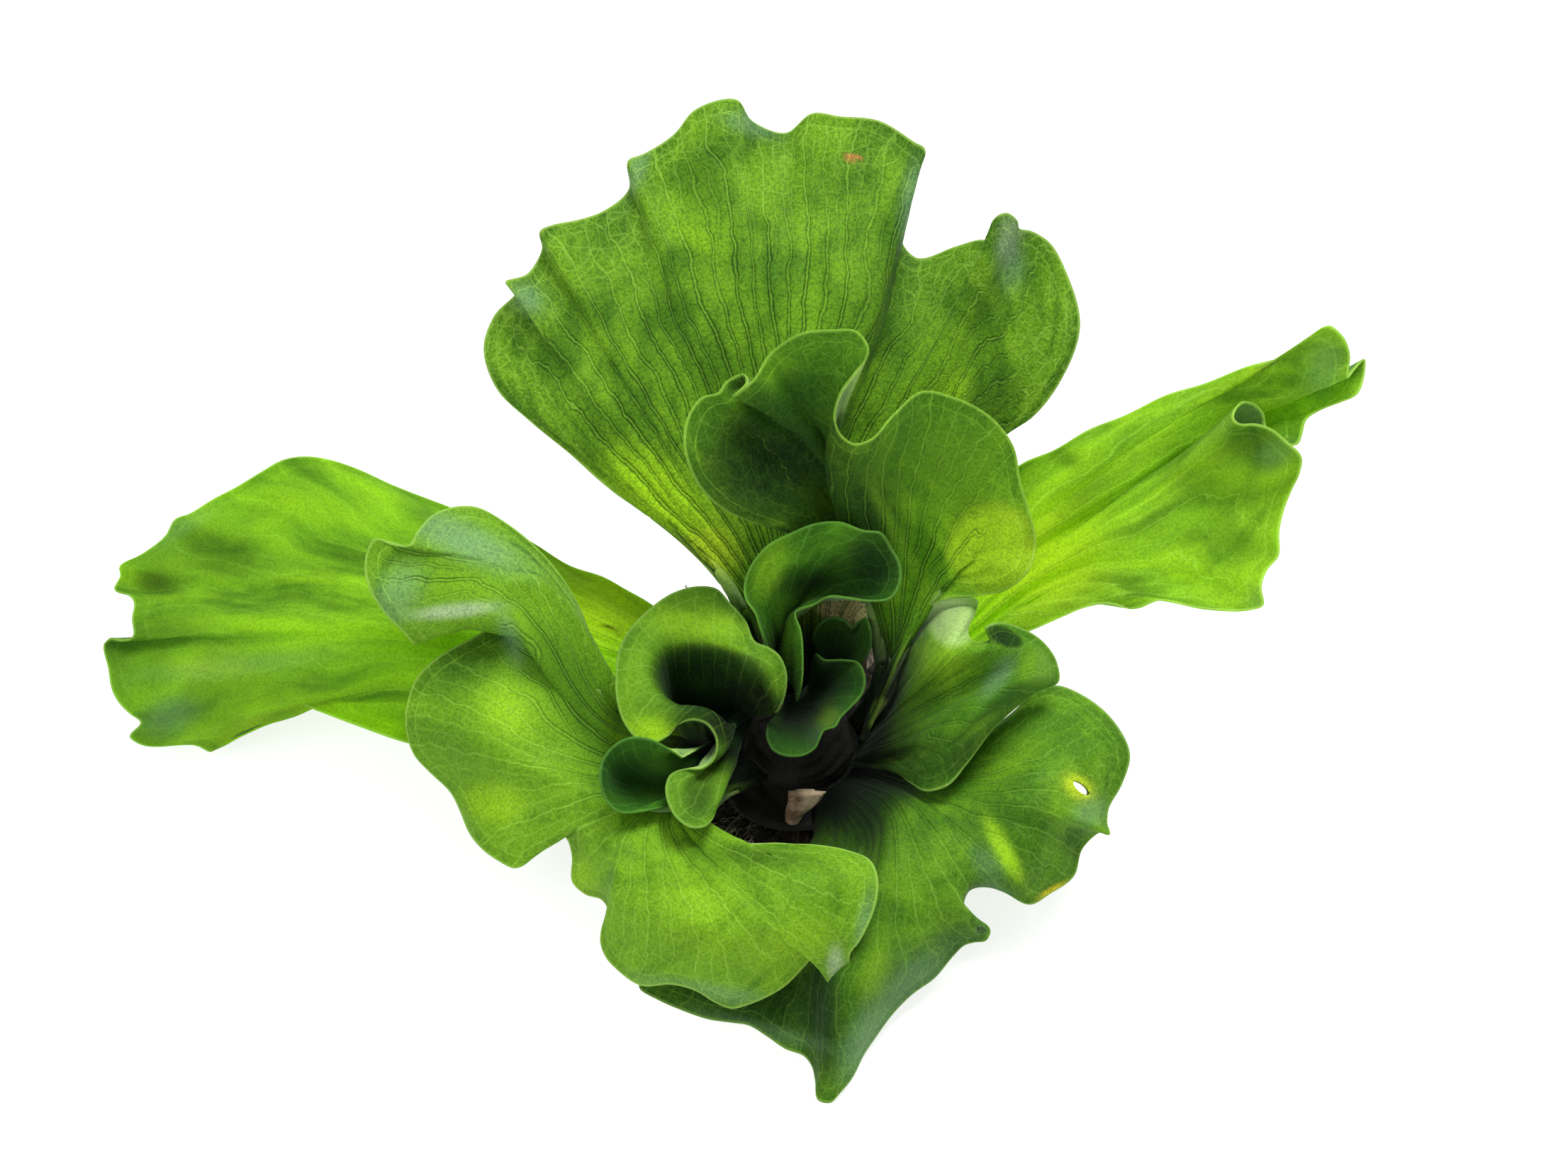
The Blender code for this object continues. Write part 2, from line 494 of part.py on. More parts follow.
def grid_faces(rows, columns, first, flip):
    """Quads over a grid of points that starts at index first."""
    faces = []
    for row in range(rows - 1):
        for column in range(columns - 1):
            corner = first + row * columns + column
            quad = (corner, corner + 1, corner + columns + 1, corner + columns)
            faces.append(quad[::-1] if flip else quad)
    return faces


def thick_sheet(sheet, normals, thickness):
    """A closed solid of a thickness around a sheet."""
    rows, columns = sheet.shape[:2]
    half = normals * thickness / 2
    points = np.concatenate(((sheet + half).reshape(-1, 3), (sheet - half).reshape(-1, 3)))
    below = rows * columns
    faces = grid_faces(rows, columns, 0, False) + grid_faces(rows, columns, below, True)
    rim = list(range(columns))
    rim += [row * columns + columns - 1 for row in range(1, rows)]
    rim += [(rows - 1) * columns + column for column in range(columns - 2, -1, -1)]
    rim += [row * columns for row in range(rows - 2, 0, -1)]
    for start, end in zip(rim, rim[1:] + rim[:1]):
        faces.append((start + below, end + below, end, start))
    return points, faces


def leaf(name):
    table = LEAVES[name]
    columns, rows = table["grid"]
    sheet = leaf_sheet(table, columns, rows)
    share = np.linspace(0, 1, rows)[:, None, None]
    in_heart = name.startswith("heart")
    base = INNER_BASE_THICKNESS if "inner" in name else BASE_THICKNESS
    thickness = HEART_THICKNESS if in_heart else base + (MARGIN_THICKNESS - base) * share
    points, faces = thick_sheet(sheet, sheet_normals(sheet), thickness)
    colour = HEART_GREEN if in_heart else LEAF_GREEN
    return make_object(name, points, faces, colour, LEAF_ROUGHNESS)


def ring_solid(name, rings, colour):
    """A closed solid of stacked rings of points, with a flat bottom and top."""
    count = len(rings[0])
    points = np.concatenate(rings)
    faces = [tuple(range(count))[::-1]]
    for level in range(len(rings) - 1):
        for side in range(count):
            after = (side + 1) % count
            low = level * count
            faces.append((low + side, low + after, low + count + after, low + count + side))
    top = (len(rings) - 1) * count
    faces.append(tuple(range(top, top + count)))
    return make_object(name, points, faces, colour, DULL_ROUGHNESS)


def ring(reach, height, turns):
    return np.stack((reach * np.cos(turns), reach * np.sin(turns), np.full(len(turns), height)), axis=1)


def stem():
    turns = np.linspace(0, 2 * pi, STEM_SIDES, endpoint=False)
    return ring_solid("stem", [ring(r, z, turns) for r, z in STEM_PROFILE], STEM_BROWN)


def roots():
    """The tuft of roots: a low mat on the surface that the plant rests on, longest at the back left."""
    turns = np.linspace(0, 2 * pi, ROOT_SIDES, endpoint=False)
    around = np.array([turn for turn, _ in ROOT_REACH] + [360.0])
    reach = np.array([length for _, length in ROOT_REACH] + [ROOT_REACH[0][1]], float)
    reach = np.interp(np.degrees(turns), around, reach)
    rings = [ring(reach * share, ROOT_TOP * height, turns) for share, height in ROOT_RINGS]
    return ring_solid("roots", rings, ROOT_GREY)


def old_leaf_base():
    """The stub of a shed leaf in front of the stem: narrow at its foot, wide and thin at its torn top."""
    turns = np.linspace(0, 2 * pi, STUB_SIDES, endpoint=False)
    rings = []
    for across, back, height, width, depth in STUB_RINGS:
        oval = (width / 2 * np.cos(turns), depth / 2 * np.sin(turns), np.zeros(STUB_SIDES))
        rings.append(np.stack(oval, axis=1) + (across, back, height))
    return ring_solid("old_leaf_base", rings, STUB_BEIGE)


def main():
    for old in list(bpy.data.objects):
        bpy.data.objects.remove(old)
    stem()
    roots()
    old_leaf_base()
    for name in LEAVES:
        leaf(name)


main()
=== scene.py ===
"""The looks of a water lettuce: ruffled, net-veined leaves round a dark crown, over a tuft of fine roots.

Lengths are in millimetres until the meshes are made. Each leaf is a closed blade built over the same
surface as its plain solid, with its veins sunk into it, its rim rounded and its skin coloured by nodes
that read the vein lines stored in the mesh.
"""

from math import cos, pi, radians, sin
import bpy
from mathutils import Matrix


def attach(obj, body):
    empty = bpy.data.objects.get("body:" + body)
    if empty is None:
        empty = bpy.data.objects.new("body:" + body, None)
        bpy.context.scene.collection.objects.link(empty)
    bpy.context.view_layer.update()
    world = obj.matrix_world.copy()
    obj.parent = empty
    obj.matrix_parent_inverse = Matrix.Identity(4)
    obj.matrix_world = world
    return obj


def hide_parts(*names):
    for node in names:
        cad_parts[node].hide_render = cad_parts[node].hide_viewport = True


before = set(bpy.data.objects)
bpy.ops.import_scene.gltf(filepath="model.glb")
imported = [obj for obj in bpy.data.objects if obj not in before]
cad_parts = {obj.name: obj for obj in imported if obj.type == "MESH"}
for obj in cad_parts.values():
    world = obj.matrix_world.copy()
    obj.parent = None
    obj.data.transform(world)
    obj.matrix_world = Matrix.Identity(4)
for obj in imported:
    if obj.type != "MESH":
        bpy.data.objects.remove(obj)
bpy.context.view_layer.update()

from types import SimpleNamespace

import bpy
import numpy as np
from mathutils import Vector

METRES = 0.001  # one millimetre

# Seeds of what is random: a leaf's own is its number times the first
SEEDS = {
    "leaf": 100, "octave": 31, "waves": 3, "plump": 5,
    "roots": 7, "wander": (3, 4), "core": (9, 10), "stem": 21, "stub": 33,
}

# The view of the photograph, which the leaves were read from
VIEW_PIXELS = (2212, 1659)
VIEW_WIDTH = 180.0  # width of the view at the crown
VIEW_DISTANCE = 520.0  # from the camera to the crown
VIEW_ELEVATION = radians(50)
CROWN_PIXEL = (1130, 1050)
CROWN = np.array((0.0, 0.0, 8.0))
SENSOR = 36.0
LIGHT_AIM = (0, 0.01, 0.03)  # in metres, as the lamps are

# The leaf surfaces
STATIONS = (0.0, 0.35, 0.68, 1.0)  # the rows of a leaf: foot, lower rib, upper rib, margin
MARGIN_STEPS = 1601  # points that a margin's curve is worked out in
FOLD_WIDTH = 0.045  # share of the margin's length that its broad folds are smoothed over
RUFFLE_WIDTH = 0.014  # and its ruffles
RUFFLE_FADE = 2.6  # how fast the ruffles fade towards the foot, unless a leaf has its own fade
FRILL_FADE = 7.0  # and the finest turns of the margin
TIP_FADE = 25.0  # and its curls and tips that stand out
TIP_SIZE, TIP_DEPTH = (0.8, 2.2), (-0.3, 0.5)  # a tip turns aside by more mm than these, and inwards by fewer
NOTCH_FADE = 1.05  # and the deepest notches
NOTCH_ROOM = 0.4  # share of a row's room that a notch may take up
RUFFLE_BLUR, FRILL_BLUR = 6.0, 2.0  # columns that these fades are evened out over
FRILL_CROWD = 1.8  # how much closer together a leaf's columns are where its margin is frilled
FRILLED = (0.2, 1.5)  # mm between the margin and its ruffles that this goes by
CROWD_BLUR = 8  # steps of the margin that this is evened out over
ROW_CROWD = 1.25  # and how much closer together its rows are towards the margin
KNOT_POWER = 0.8  # how far the points of a line, and not its length, set its knots
NORMAL_BLUR = 1.5  # rows and columns that the normals are evened out over
RIPPLE_LATTICE = (97, 89)  # a ripple's values, before it repeats

# Each leaf is read through the view as (pixel across, pixel down, height in mm). The margin runs
# clockwise from one side of the foot round to the other. A rib goes with a point of the margin,
# counted from 0, and gives the two places that its vein passes on the way from the foot. The foot
# is (turn about the stem in degrees, distance from its middle, height, width).
LEAVES = {}
LEAVES["back_leaf"] = {
    "ruffle_fade": 5.0, "foot": (94, 7.5, 8.4, 8.4),
    "margin": (
        (1025, 822, 22.5), (1000, 800, 24.2), (950, 755, 27), (900, 717, 29.2), (850, 682, 31.3),
        (800, 637, 33.7), (745, 592, 36.2), (700, 548, 38.6), (682, 490, 41.6), (697, 445, 43.8),
        (728, 410, 46.5), (713, 398, 48.2), (745, 385, 46.8), (765, 350, 48), (762, 325, 50.6),
        (780, 317, 50.4), (815, 310, 50.2), (850, 298, 50.4), (888, 265, 51.4), (887, 225, 54.6),
        (905, 218, 54.6), (950, 190, 56), (980, 155, 58), (1038, 140, 59.4), (1060, 170, 56), (1110, 187, 54),
        (1145, 160, 56), (1185, 164, 57), (1240, 170, 57.6), (1290, 200, 57), (1305, 210, 57.6),
        (1293, 245, 54), (1282, 300, 50), (1272, 340, 47.6), (1292, 363, 46.4), (1350, 347, 47.4),
        (1384, 338, 48.6), (1406, 344, 49.6), (1422, 352, 50), (1413, 330, 52), (1400, 315, 54),
        (1407, 304, 55), (1420, 300, 55.2), (1434, 309, 54.2), (1438, 322, 52.2), (1456, 326, 51),
        (1480, 341, 50), (1505, 385, 47.7), (1524, 460, 44), (1495, 540, 39), (1460, 585, 36),
        (1425, 608, 34.2), (1330, 690, 29), (1270, 760, 21.5),
    ),
    "ribs": {
        2: ((1056, 888, 18.6), (1028, 822, 22.8)), 5: ((1052, 862, 20.4), (955, 745, 28)),
        8: ((1048, 835, 22), (880, 665, 33)), 14: ((1055, 790, 25), (915, 580, 38.5)),
        23: ((1098, 720, 30), (1068, 430, 48.5)), 30: ((1130, 740, 28), (1215, 490, 44.6)),
        34: ((1140, 760, 26), (1215, 565, 39)), 48: ((1165, 775, 24), (1330, 620, 34.4)),
        51: ((1165, 810, 21.6), (1285, 710, 27.6)),
    },
}
LEAVES["back_inner_leaf"] = {
    "ruffle_fade": 4.0, "foot": (-10, 7.6, 12.8, 4.0),
    "margin": (
        (1250, 862, 19.4), (1225, 800, 22), (1165, 765, 27), (1115, 750, 31.4), (1065, 737, 36.6),
        (1000, 703, 43), (972, 660, 47), (964, 620, 49), (975, 577, 50), (990, 560, 50.5), (1012, 554, 50.5),
        (1024, 538, 50.5), (1046, 527, 51), (1052, 540, 52), (1034, 558, 52.5), (1062, 536, 54),
        (1085, 500, 55), (1130, 470, 58), (1175, 465, 59), (1210, 468, 60), (1225, 490, 59), (1200, 532, 55),
        (1187, 550, 53.5), (1177, 590, 50), (1185, 612, 48.5), (1205, 626, 48), (1228, 620, 48),
        (1260, 585, 49), (1300, 552, 50), (1345, 560, 49), (1400, 590, 46), (1430, 630, 43), (1440, 680, 40),
        (1457, 735, 36), (1462, 770, 33), (1452, 805, 31), (1420, 832, 28), (1370, 842, 26), (1325, 846, 25),
        (1298, 868, 22.6),
    ),
    "ribs": {
        1: ((1238, 945, 16.4), (1254, 868, 19.2)), 5: ((1243, 935, 17), (1190, 748, 31)),
        19: ((1245, 915, 17.6), (1175, 650, 41.2)), 22: ((1248, 918, 17.4), (1172, 670, 40.2)),
        25: ((1257, 925, 18), (1205, 715, 37)), 29: ((1260, 928, 18), (1305, 730, 33)),
        34: ((1262, 935, 18), (1360, 790, 29.4)), 38: ((1262, 948, 17.6), (1294, 862, 23)),
    },
}
LEAVES["right_leaf"] = {
    "ruffle_fade": 4.5, "foot": (10, 7.0, 7.2, 6.5),
    "margin": (
        (1270, 910, 14), (1330, 790, 21), (1440, 655, 27), (1489, 634, 29), (1536, 606, 31), (1590, 585, 33),
        (1649, 556, 36), (1700, 541, 38), (1763, 516, 41), (1809, 503, 43), (1847, 480, 45), (1875, 459, 47),
        (1893, 472, 46), (1905, 503, 43), (1902, 530, 41), (1912, 520, 39.5), (1926, 507, 39),
        (1925, 530, 38), (1915, 556, 37), (1895, 565, 36.5), (1868, 575, 36), (1843, 592, 35.5),
        (1838, 610, 35), (1831, 626, 35), (1818, 626, 35.5), (1795, 612, 36), (1786, 600, 36),
        (1783, 583, 37), (1772, 571, 38), (1757, 566, 39), (1745, 574, 40), (1741, 590, 41), (1752, 598, 42),
        (1772, 598, 42), (1792, 604, 41.5), (1815, 622, 40), (1837, 646, 38), (1834, 667, 36.5),
        (1822, 693, 34), (1811, 722, 32.5), (1805, 751, 31), (1804, 785, 29), (1788, 804, 28),
        (1780, 827, 27), (1782, 855, 25), (1763, 861, 24.5), (1700, 859, 24), (1637, 847, 23.5),
        (1603, 859, 21.5), (1561, 850, 21.5), (1531, 857, 20.5), (1502, 869, 19), (1468, 884, 17.5),
        (1430, 897, 16), (1360, 925, 12.6), (1290, 975, 9),
    ),
    "ribs": {
        3: ((1326, 838, 18), (1410, 730, 24)), 7: ((1344, 832, 18.4), (1490, 690, 27)),
        11: ((1360, 832, 18.4), (1600, 640, 31)), 16: ((1372, 836, 18.2), (1640, 655, 30)),
        25: ((1380, 842, 17.8), (1620, 680, 28)), 29: ((1388, 849, 17.4), (1600, 700, 27)),
        35: ((1396, 856, 17), (1620, 715, 28.5)), 41: ((1402, 866, 16.4), (1590, 765, 25.5)),
        46: ((1402, 880, 15.4), (1540, 820, 21.5)), 50: ((1390, 897, 14), (1450, 862, 18)),
    },
}
LEAVES["left_leaf"] = {
    "ruffle_fade": 4.5, "foot": (161, 7.0, 7.2, 7.0),
    "margin": (
        (1010, 1080, 8.4), (880, 1078, 9.8), (720, 1068, 11.4), (579, 1049, 12), (499, 1022, 11.5),
        (448, 1003, 11), (410, 990, 11), (389, 995, 10), (356, 1001, 9), (326, 1007, 7), (309, 1020, 5),
        (301, 1041, 3.5), (297, 1060, 2), (276, 1051, 2.5), (246, 1051, 3), (221, 1053, 3), (200, 1051, 3),
        (183, 1040, 3.5), (198, 1018, 6), (183, 1007, 6.5), (168, 992, 7), (158, 974, 7), (153, 945, 7),
        (147, 908, 7), (154, 901, 8), (168, 904, 9), (187, 898, 10.5), (186, 873, 10), (189, 851, 9.5),
        (183, 841, 9), (161, 830, 7.5), (170, 811, 8), (168, 801, 8.5), (200, 782, 10), (234, 755, 11),
        (246, 733, 12), (267, 725, 13), (301, 704, 14), (330, 689, 15), (368, 666, 16.5), (398, 649, 17.5),
        (427, 644, 18), (457, 647, 18), (499, 660, 18), (549, 683, 17), (650, 722, 16), (744, 762, 15),
        (805, 799, 14), (851, 814, 13.5), (885, 833, 13), (912, 848, 12.5), (990, 915, 10.5),
    ),
    "ribs": {
        5: ((850, 1010, 13), (640, 1000, 13.5)), 12: ((840, 985, 13.5), (560, 960, 16)),
        23: ((830, 950, 14.5), (490, 905, 20)), 29: ((835, 930, 14.5), (490, 870, 20.5)),
        35: ((850, 910, 14.5), (540, 820, 20.5)), 41: ((870, 895, 14), (640, 790, 19)),
    },
}
LEAVES["front_left_leaf"] = {
    "foot": (214, 7.0, 9.4, 5.6),
    "margin": (
        (985, 1140, 14.2), (1000, 1180, 17), (1040, 1193, 18.5), (1100, 1190, 19), (1159, 1193, 19.5),
        (1200, 1201, 20), (1226, 1212, 20), (1239, 1240, 20), (1236, 1275, 18.5), (1213, 1328, 15.5),
        (1200, 1345, 13.5), (1197, 1367, 11.5), (1184, 1384, 10), (1171, 1387, 9.5), (1165, 1380, 10),
        (1172, 1354, 12), (1165, 1334, 13.5), (1148, 1349, 12.5), (1129, 1370, 11), (1108, 1391, 9.5),
        (1083, 1406, 8.5), (1054, 1418, 7.5), (1033, 1423, 7), (1010, 1415, 7.5), (982, 1398, 8.5),
        (948, 1389, 8.5), (906, 1391, 7), (873, 1370, 6.5), (854, 1349, 7), (847, 1328, 8), (850, 1308, 9.5),
        (858, 1290, 10), (849, 1269, 9), (825, 1261, 8), (808, 1245, 8.5), (807, 1206, 11), (797, 1180, 13),
        (779, 1173, 13), (759, 1188, 12), (746, 1213, 10), (728, 1225, 9), (702, 1214, 9), (679, 1197, 9.5),
        (661, 1174, 10), (650, 1147, 11), (637, 1120, 12), (604, 1087, 13), (585, 1066, 14),
        (575, 1041, 15.5), (572, 1005, 18), (577, 982, 19), (587, 957, 20.5), (608, 934, 22), (633, 917, 23),
        (659, 903, 23.5), (684, 889, 24), (699, 876, 24), (690, 868, 24.5), (660, 866, 25), (620, 872, 25),
        (600, 878, 25), (590, 890, 24.5), (585, 908, 24), (570, 893, 26), (541, 864, 28), (520, 830, 30),
        (514, 797, 31), (518, 776, 32), (528, 760, 33), (550, 767, 33), (575, 769, 33.5), (590, 747, 33.5),
        (610, 726, 34), (640, 715, 34), (671, 715, 33.5), (713, 737, 32), (767, 783, 29), (809, 841, 25),
        (836, 910, 21), (855, 975, 18), (878, 1044, 14), (945, 1068, 11),
    ),
    "ribs": {
        2: ((990, 1130, 13), (1005, 1175, 16.4)), 4: ((975, 1140, 13.8), (1060, 1207, 18.5)),
        7: ((962, 1148, 14.4), (1095, 1230, 19.5)), 13: ((955, 1155, 14.8), (1070, 1280, 19)),
        22: ((940, 1160, 15.2), (995, 1290, 17.5)), 28: ((915, 1150, 15.4), (890, 1245, 16)),
        40: ((900, 1125, 15.8), (838, 1140, 16.8)), 49: ((862, 1095, 16.2), (720, 1050, 20.5)),
        54: ((852, 1064, 17), (745, 980, 22)), 58: ((848, 1042, 17.8), (745, 925, 25)),
        64: ((850, 1026, 18.4), (720, 860, 29)), 68: ((854, 1018, 18.2), (735, 825, 30)),
        74: ((862, 1012, 17.4), (775, 840, 28)), 77: ((876, 1037, 15.2), (835, 930, 22)),
    },
}
LEAVES["front_right_leaf"] = {
    "foot": (-45, 7.0, 7.2, 7.0),
    "margin": (
        (1270, 1075, 8.4), (1330, 1070, 12), (1378, 1052, 14.4), (1440, 996, 17), (1460, 975, 18),
        (1490, 967, 18.5), (1524, 979, 18), (1570, 1016, 17), (1594, 1065, 15.5), (1582, 1108, 14),
        (1564, 1141, 12.5), (1562, 1160, 12), (1566, 1177, 12.5), (1551, 1174, 11), (1527, 1197, 9.5),
        (1515, 1236, 8.5), (1481, 1261, 8), (1453, 1276, 8), (1417, 1258, 9), (1395, 1251, 9.5),
        (1370, 1254, 9.5), (1354, 1275, 9), (1354, 1300, 8), (1364, 1313, 7.8), (1384, 1302, 8.5),
        (1397, 1312, 8), (1392, 1326, 7), (1375, 1329, 6), (1361, 1333, 5.5), (1344, 1349, 4.5),
        (1319, 1379, 3.5), (1285, 1404, 3), (1256, 1434, 2.5), (1235, 1463, 2), (1218, 1488, 2),
        (1201, 1522, 1.5), (1184, 1543, 1.2), (1171, 1556, 1), (1155, 1553, 1), (1151, 1526, 1.5),
        (1146, 1505, 1.5), (1134, 1490, 1.5), (1108, 1480, 1.5), (1083, 1463, 1.5), (1054, 1446, 1.2),
        (1033, 1443, 1), (999, 1438, 1), (961, 1425, 1), (927, 1410, 1), (902, 1394, 1.5), (940, 1345, 2.4),
        (1030, 1290, 3.4), (1150, 1225, 5),
    ),
    "ribs": {
        3: ((1312, 1094, 12.4), (1390, 1044, 16)), 8: ((1314, 1112, 14), (1470, 1085, 18)),
        17: ((1300, 1136, 15.6), (1400, 1215, 14.5)), 30: ((1262, 1152, 16), (1290, 1290, 13)),
        37: ((1246, 1180, 15.6), (1190, 1370, 11)), 43: ((1222, 1205, 12), (1130, 1340, 7)),
        47: ((1190, 1205, 9), (1050, 1310, 6)),
    },
}
LEAVES["right_inner_leaf"] = {
    "foot": (-24, 7.2, 9.8, 3.6),
    "margin": (
        (1262, 1000, 11), (1264, 960, 12.6), (1270, 925, 14.6), (1286, 898, 16.6), (1296, 866, 18.2),
        (1318, 846, 20), (1350, 842, 21.8), (1379, 846, 23.2), (1376, 864, 24.4), (1366, 884, 25.8),
        (1374, 904, 27.2), (1392, 906, 27.8), (1404, 896, 28.2), (1390, 885, 29), (1405, 878, 29),
        (1441, 886, 28), (1475, 909, 25.5), (1491, 935, 23.5), (1493, 962, 22), (1470, 972, 21.5),
        (1438, 994, 21), (1400, 1030, 20.4), (1365, 1077, 19.4), (1337, 1109, 18.6), (1310, 1117, 17.6),
        (1285, 1105, 15.8), (1266, 1085, 13.4),
    ),
    "ribs": {
        1: ((1246, 1035, 10.6), (1258, 985, 12)), 4: ((1258, 1010, 12.8), (1284, 925, 18)),
        6: ((1266, 1000, 16), (1322, 910, 26)), 9: ((1272, 1000, 17), (1350, 920, 27.4)),
        14: ((1276, 1005, 17.6), (1400, 925, 28.2)), 17: ((1278, 1020, 17.6), (1425, 950, 26.4)),
        20: ((1276, 1035, 17.2), (1388, 992, 25.4)), 22: ((1270, 1052, 16.4), (1335, 1045, 22.4)),
        25: ((1258, 1068, 13.2), (1278, 1088, 15.6)),
    },
}
LEAVES["left_inner_leaf"] = {
    "foot": (163, 6.4, 12.6, 4.5),
    "margin": (
        (1038, 1080, 15.4), (1012, 1135, 18.6), (993, 1167, 20.4), (975, 1168, 20.5), (955, 1155, 20.5),
        (941, 1130, 20.5), (939, 1106, 20.5), (947, 1091, 20.5), (965, 1086, 20.5), (990, 1085, 20.5),
        (1004, 1075, 21), (1011, 1055, 21.5), (1008, 1037, 22), (995, 1021, 22.5), (975, 1016, 23),
        (955, 1022, 23), (940, 1040, 22.5), (922, 1049, 22), (900, 1044, 22), (880, 1020, 23), (870, 990, 24),
        (868, 950, 25), (873, 915, 25.8), (890, 885, 26.4), (917, 858, 27), (950, 836, 27.3),
        (985, 827, 27.3), (1010, 830, 27.3), (1030, 850, 27), (1052, 875, 26.3), (1066, 905, 25.5),
        (1085, 913, 25.5), (1100, 925, 25.5), (1110, 950, 24), (1106, 985, 22), (1098, 1003, 20.5),
        (1082, 990, 17.5),
    ),
    "ribs": {
        2: ((1034, 1052, 15.4), (1010, 1118, 18.6)), 5: ((1022, 1046, 16), (978, 1112, 19.2)),
        8: ((1026, 1038, 16.2), (1000, 1078, 19.4)), 11: ((1035, 1020, 16), (1025, 1040, 19.6)),
        14: ((1010, 1032, 15.2), (1000, 1010, 22)), 17: ((988, 1040, 15), (955, 990, 24)),
        20: ((966, 1030, 15), (925, 965, 25)), 24: ((962, 1000, 14.6), (945, 908, 25)),
        27: ((1010, 1000, 14.4), (1010, 920, 25)), 31: ((1045, 1000, 14), (1062, 958, 22.5)),
        34: ((1065, 1005, 15.5), (1085, 1000, 19)),
    },
}
LEAVES["heart_leaf_back"] = {
    "foot": (118, 4.6, 13.4, 3.2),
    "margin": (
        (1100, 975, 16), (1090, 925, 20), (1080, 905, 24), (1072, 885, 26), (1064, 862, 28), (1052, 845, 29),
        (1050, 825, 30), (1058, 800, 31.5), (1083, 769, 33.5), (1115, 752, 35), (1151, 738, 36.6),
        (1185, 736, 36.8), (1219, 748, 36.4), (1242, 751, 36.4), (1258, 773, 34), (1270, 795, 32.5),
        (1271, 820, 31), (1258, 844, 29.5), (1230, 848, 29), (1195, 843, 29), (1172, 841, 28.5),
        (1150, 852, 27), (1122, 864, 25), (1130, 890, 24), (1133, 930, 22), (1131, 965, 20.5),
        (1124, 990, 18.5),
    ),
    "ribs": {
        4: ((1092, 920, 18.5), (1078, 885, 23.5)), 8: ((1100, 905, 20), (1090, 840, 27)),
        11: ((1105, 895, 20), (1130, 815, 28.4)), 14: ((1108, 890, 20), (1165, 810, 27.6)),
        17: ((1110, 888, 20), (1170, 832, 25.4)), 22: ((1108, 905, 19.5), (1115, 880, 22.5)),
        25: ((1105, 945, 16.5), (1118, 955, 18.5)),
    },
}
LEAVES["heart_leaf_centre"] = {
    "foot": (150, 2.6, 13.2, 2.6),
    "margin": (
        (1146, 972, 14.8), (1150, 922, 19.8), (1165, 931, 21.5), (1190, 931, 22), (1210, 934, 22),
        (1221, 956, 22), (1216, 980, 22), (1200, 998, 22), (1186, 1012, 22), (1178, 1025, 22),
        (1163, 1030, 22), (1156, 1042, 22), (1150, 1055, 21.5), (1135, 1065, 21), (1112, 1067, 20.5),
        (1092, 1060, 20), (1082, 1043, 19.5), (1082, 1022, 17.5),
    ),
    "ribs": {
        3: ((1145, 965, 15.5), (1175, 945, 19)), 6: ((1150, 985, 15.5), (1185, 978, 19)),
        13: ((1130, 1012, 15), (1130, 1040, 17.5)), 15: ((1115, 1015, 15), (1105, 1035, 17.5)),
    },
}
LEAVES["heart_leaf_left"] = {
    "foot": (192, 7.0, 11.4, 2.4),
    "margin": (
        (935, 1140, 18), (905, 1145, 19), (871, 1145, 20), (855, 1130, 21), (846, 1100, 23), (850, 1072, 24),
        (868, 1050, 25), (889, 1040, 25.6), (915, 1042, 25.4), (940, 1055, 23.8), (962, 1070, 21.6),
    ),
    "ribs": {
        2: ((968, 1132, 15.2), (905, 1139, 17.8)), 5: ((960, 1106, 15.2), (880, 1103, 19)),
        8: ((972, 1084, 17.8), (920, 1066, 22)),
    },
}
LEAVES["heart_leaf_small"] = {
    "foot": (55, 2.8, 13.2, 2.2),
    "margin": (
        (1158, 950, 15.4), (1152, 915, 17.4), (1146, 898, 19.5), (1155, 880, 21), (1172, 870, 22),
        (1192, 874, 22), (1203, 884, 21.5), (1214, 874, 21.5), (1222, 871, 22.2), (1228, 885, 21.8),
        (1230, 910, 20), (1206, 950, 16.4),
    ),
    "ribs": {
        4: ((1170, 945, 15.5), (1172, 905, 18.5)), 8: ((1185, 945, 15.8), (1212, 905, 19.4)),
    },
}


def paint(red, green, blue):
    """A display colour, 0 to 255, as linear red, green, blue and alpha."""
    shares = np.array((red, green, blue)) / 255
    linear = np.where(shares > 0.04045, ((shares + 0.055) / 1.055) ** 2.4, shares / 12.92)
    return (*map(float, linear), 1.0)


# Colours of the plant. Several of them also serve as painted light, shade and sheen, as noted.
# painted light: the light green of lit blotches and of marks
LIT = paint(122, 174, 34)
MID = paint(82, 134, 22)
# the leaves' own darker green, also painted shade in hollows and in marks
DEEP = paint(30, 80, 12)
# bright yellow-green of streaks and small blotches, and painted glow of light through the leaves at their
# bases and in marks
GLOW = paint(176, 228, 32)
VEIN = paint(164, 208, 84)
RIM = paint(172, 212, 96)
# painted sheen: the bluish grey of the hairs where light grazes folds, rims and teeth
HAIR_SHEEN = paint(128, 168, 122)
UNDER = paint(140, 180, 92)
UNDER_DEEP = paint(80, 128, 42)
# painted shade, near black, in the crown and in cavities; in one patch a real crack
BLACK_SHADE_AND_CRACK = paint(5, 10, 4)
SHADE = paint(7, 40, 7)
BEIGE = paint(205, 184, 132)
TAN = paint(198, 128, 76)
# the silver of the underside's felt, and painted highlights in marks
SILVER = paint(200, 220, 180)
# painted light in marks, and the leaf's own halo round the hole in the front right leaf
YELLOW = paint(214, 238, 50)
OCHRE = paint(222, 206, 40)
BROWN = paint(70, 52, 20)
FELT = paint(176, 206, 128)
OLIVE = paint(176, 178, 66)
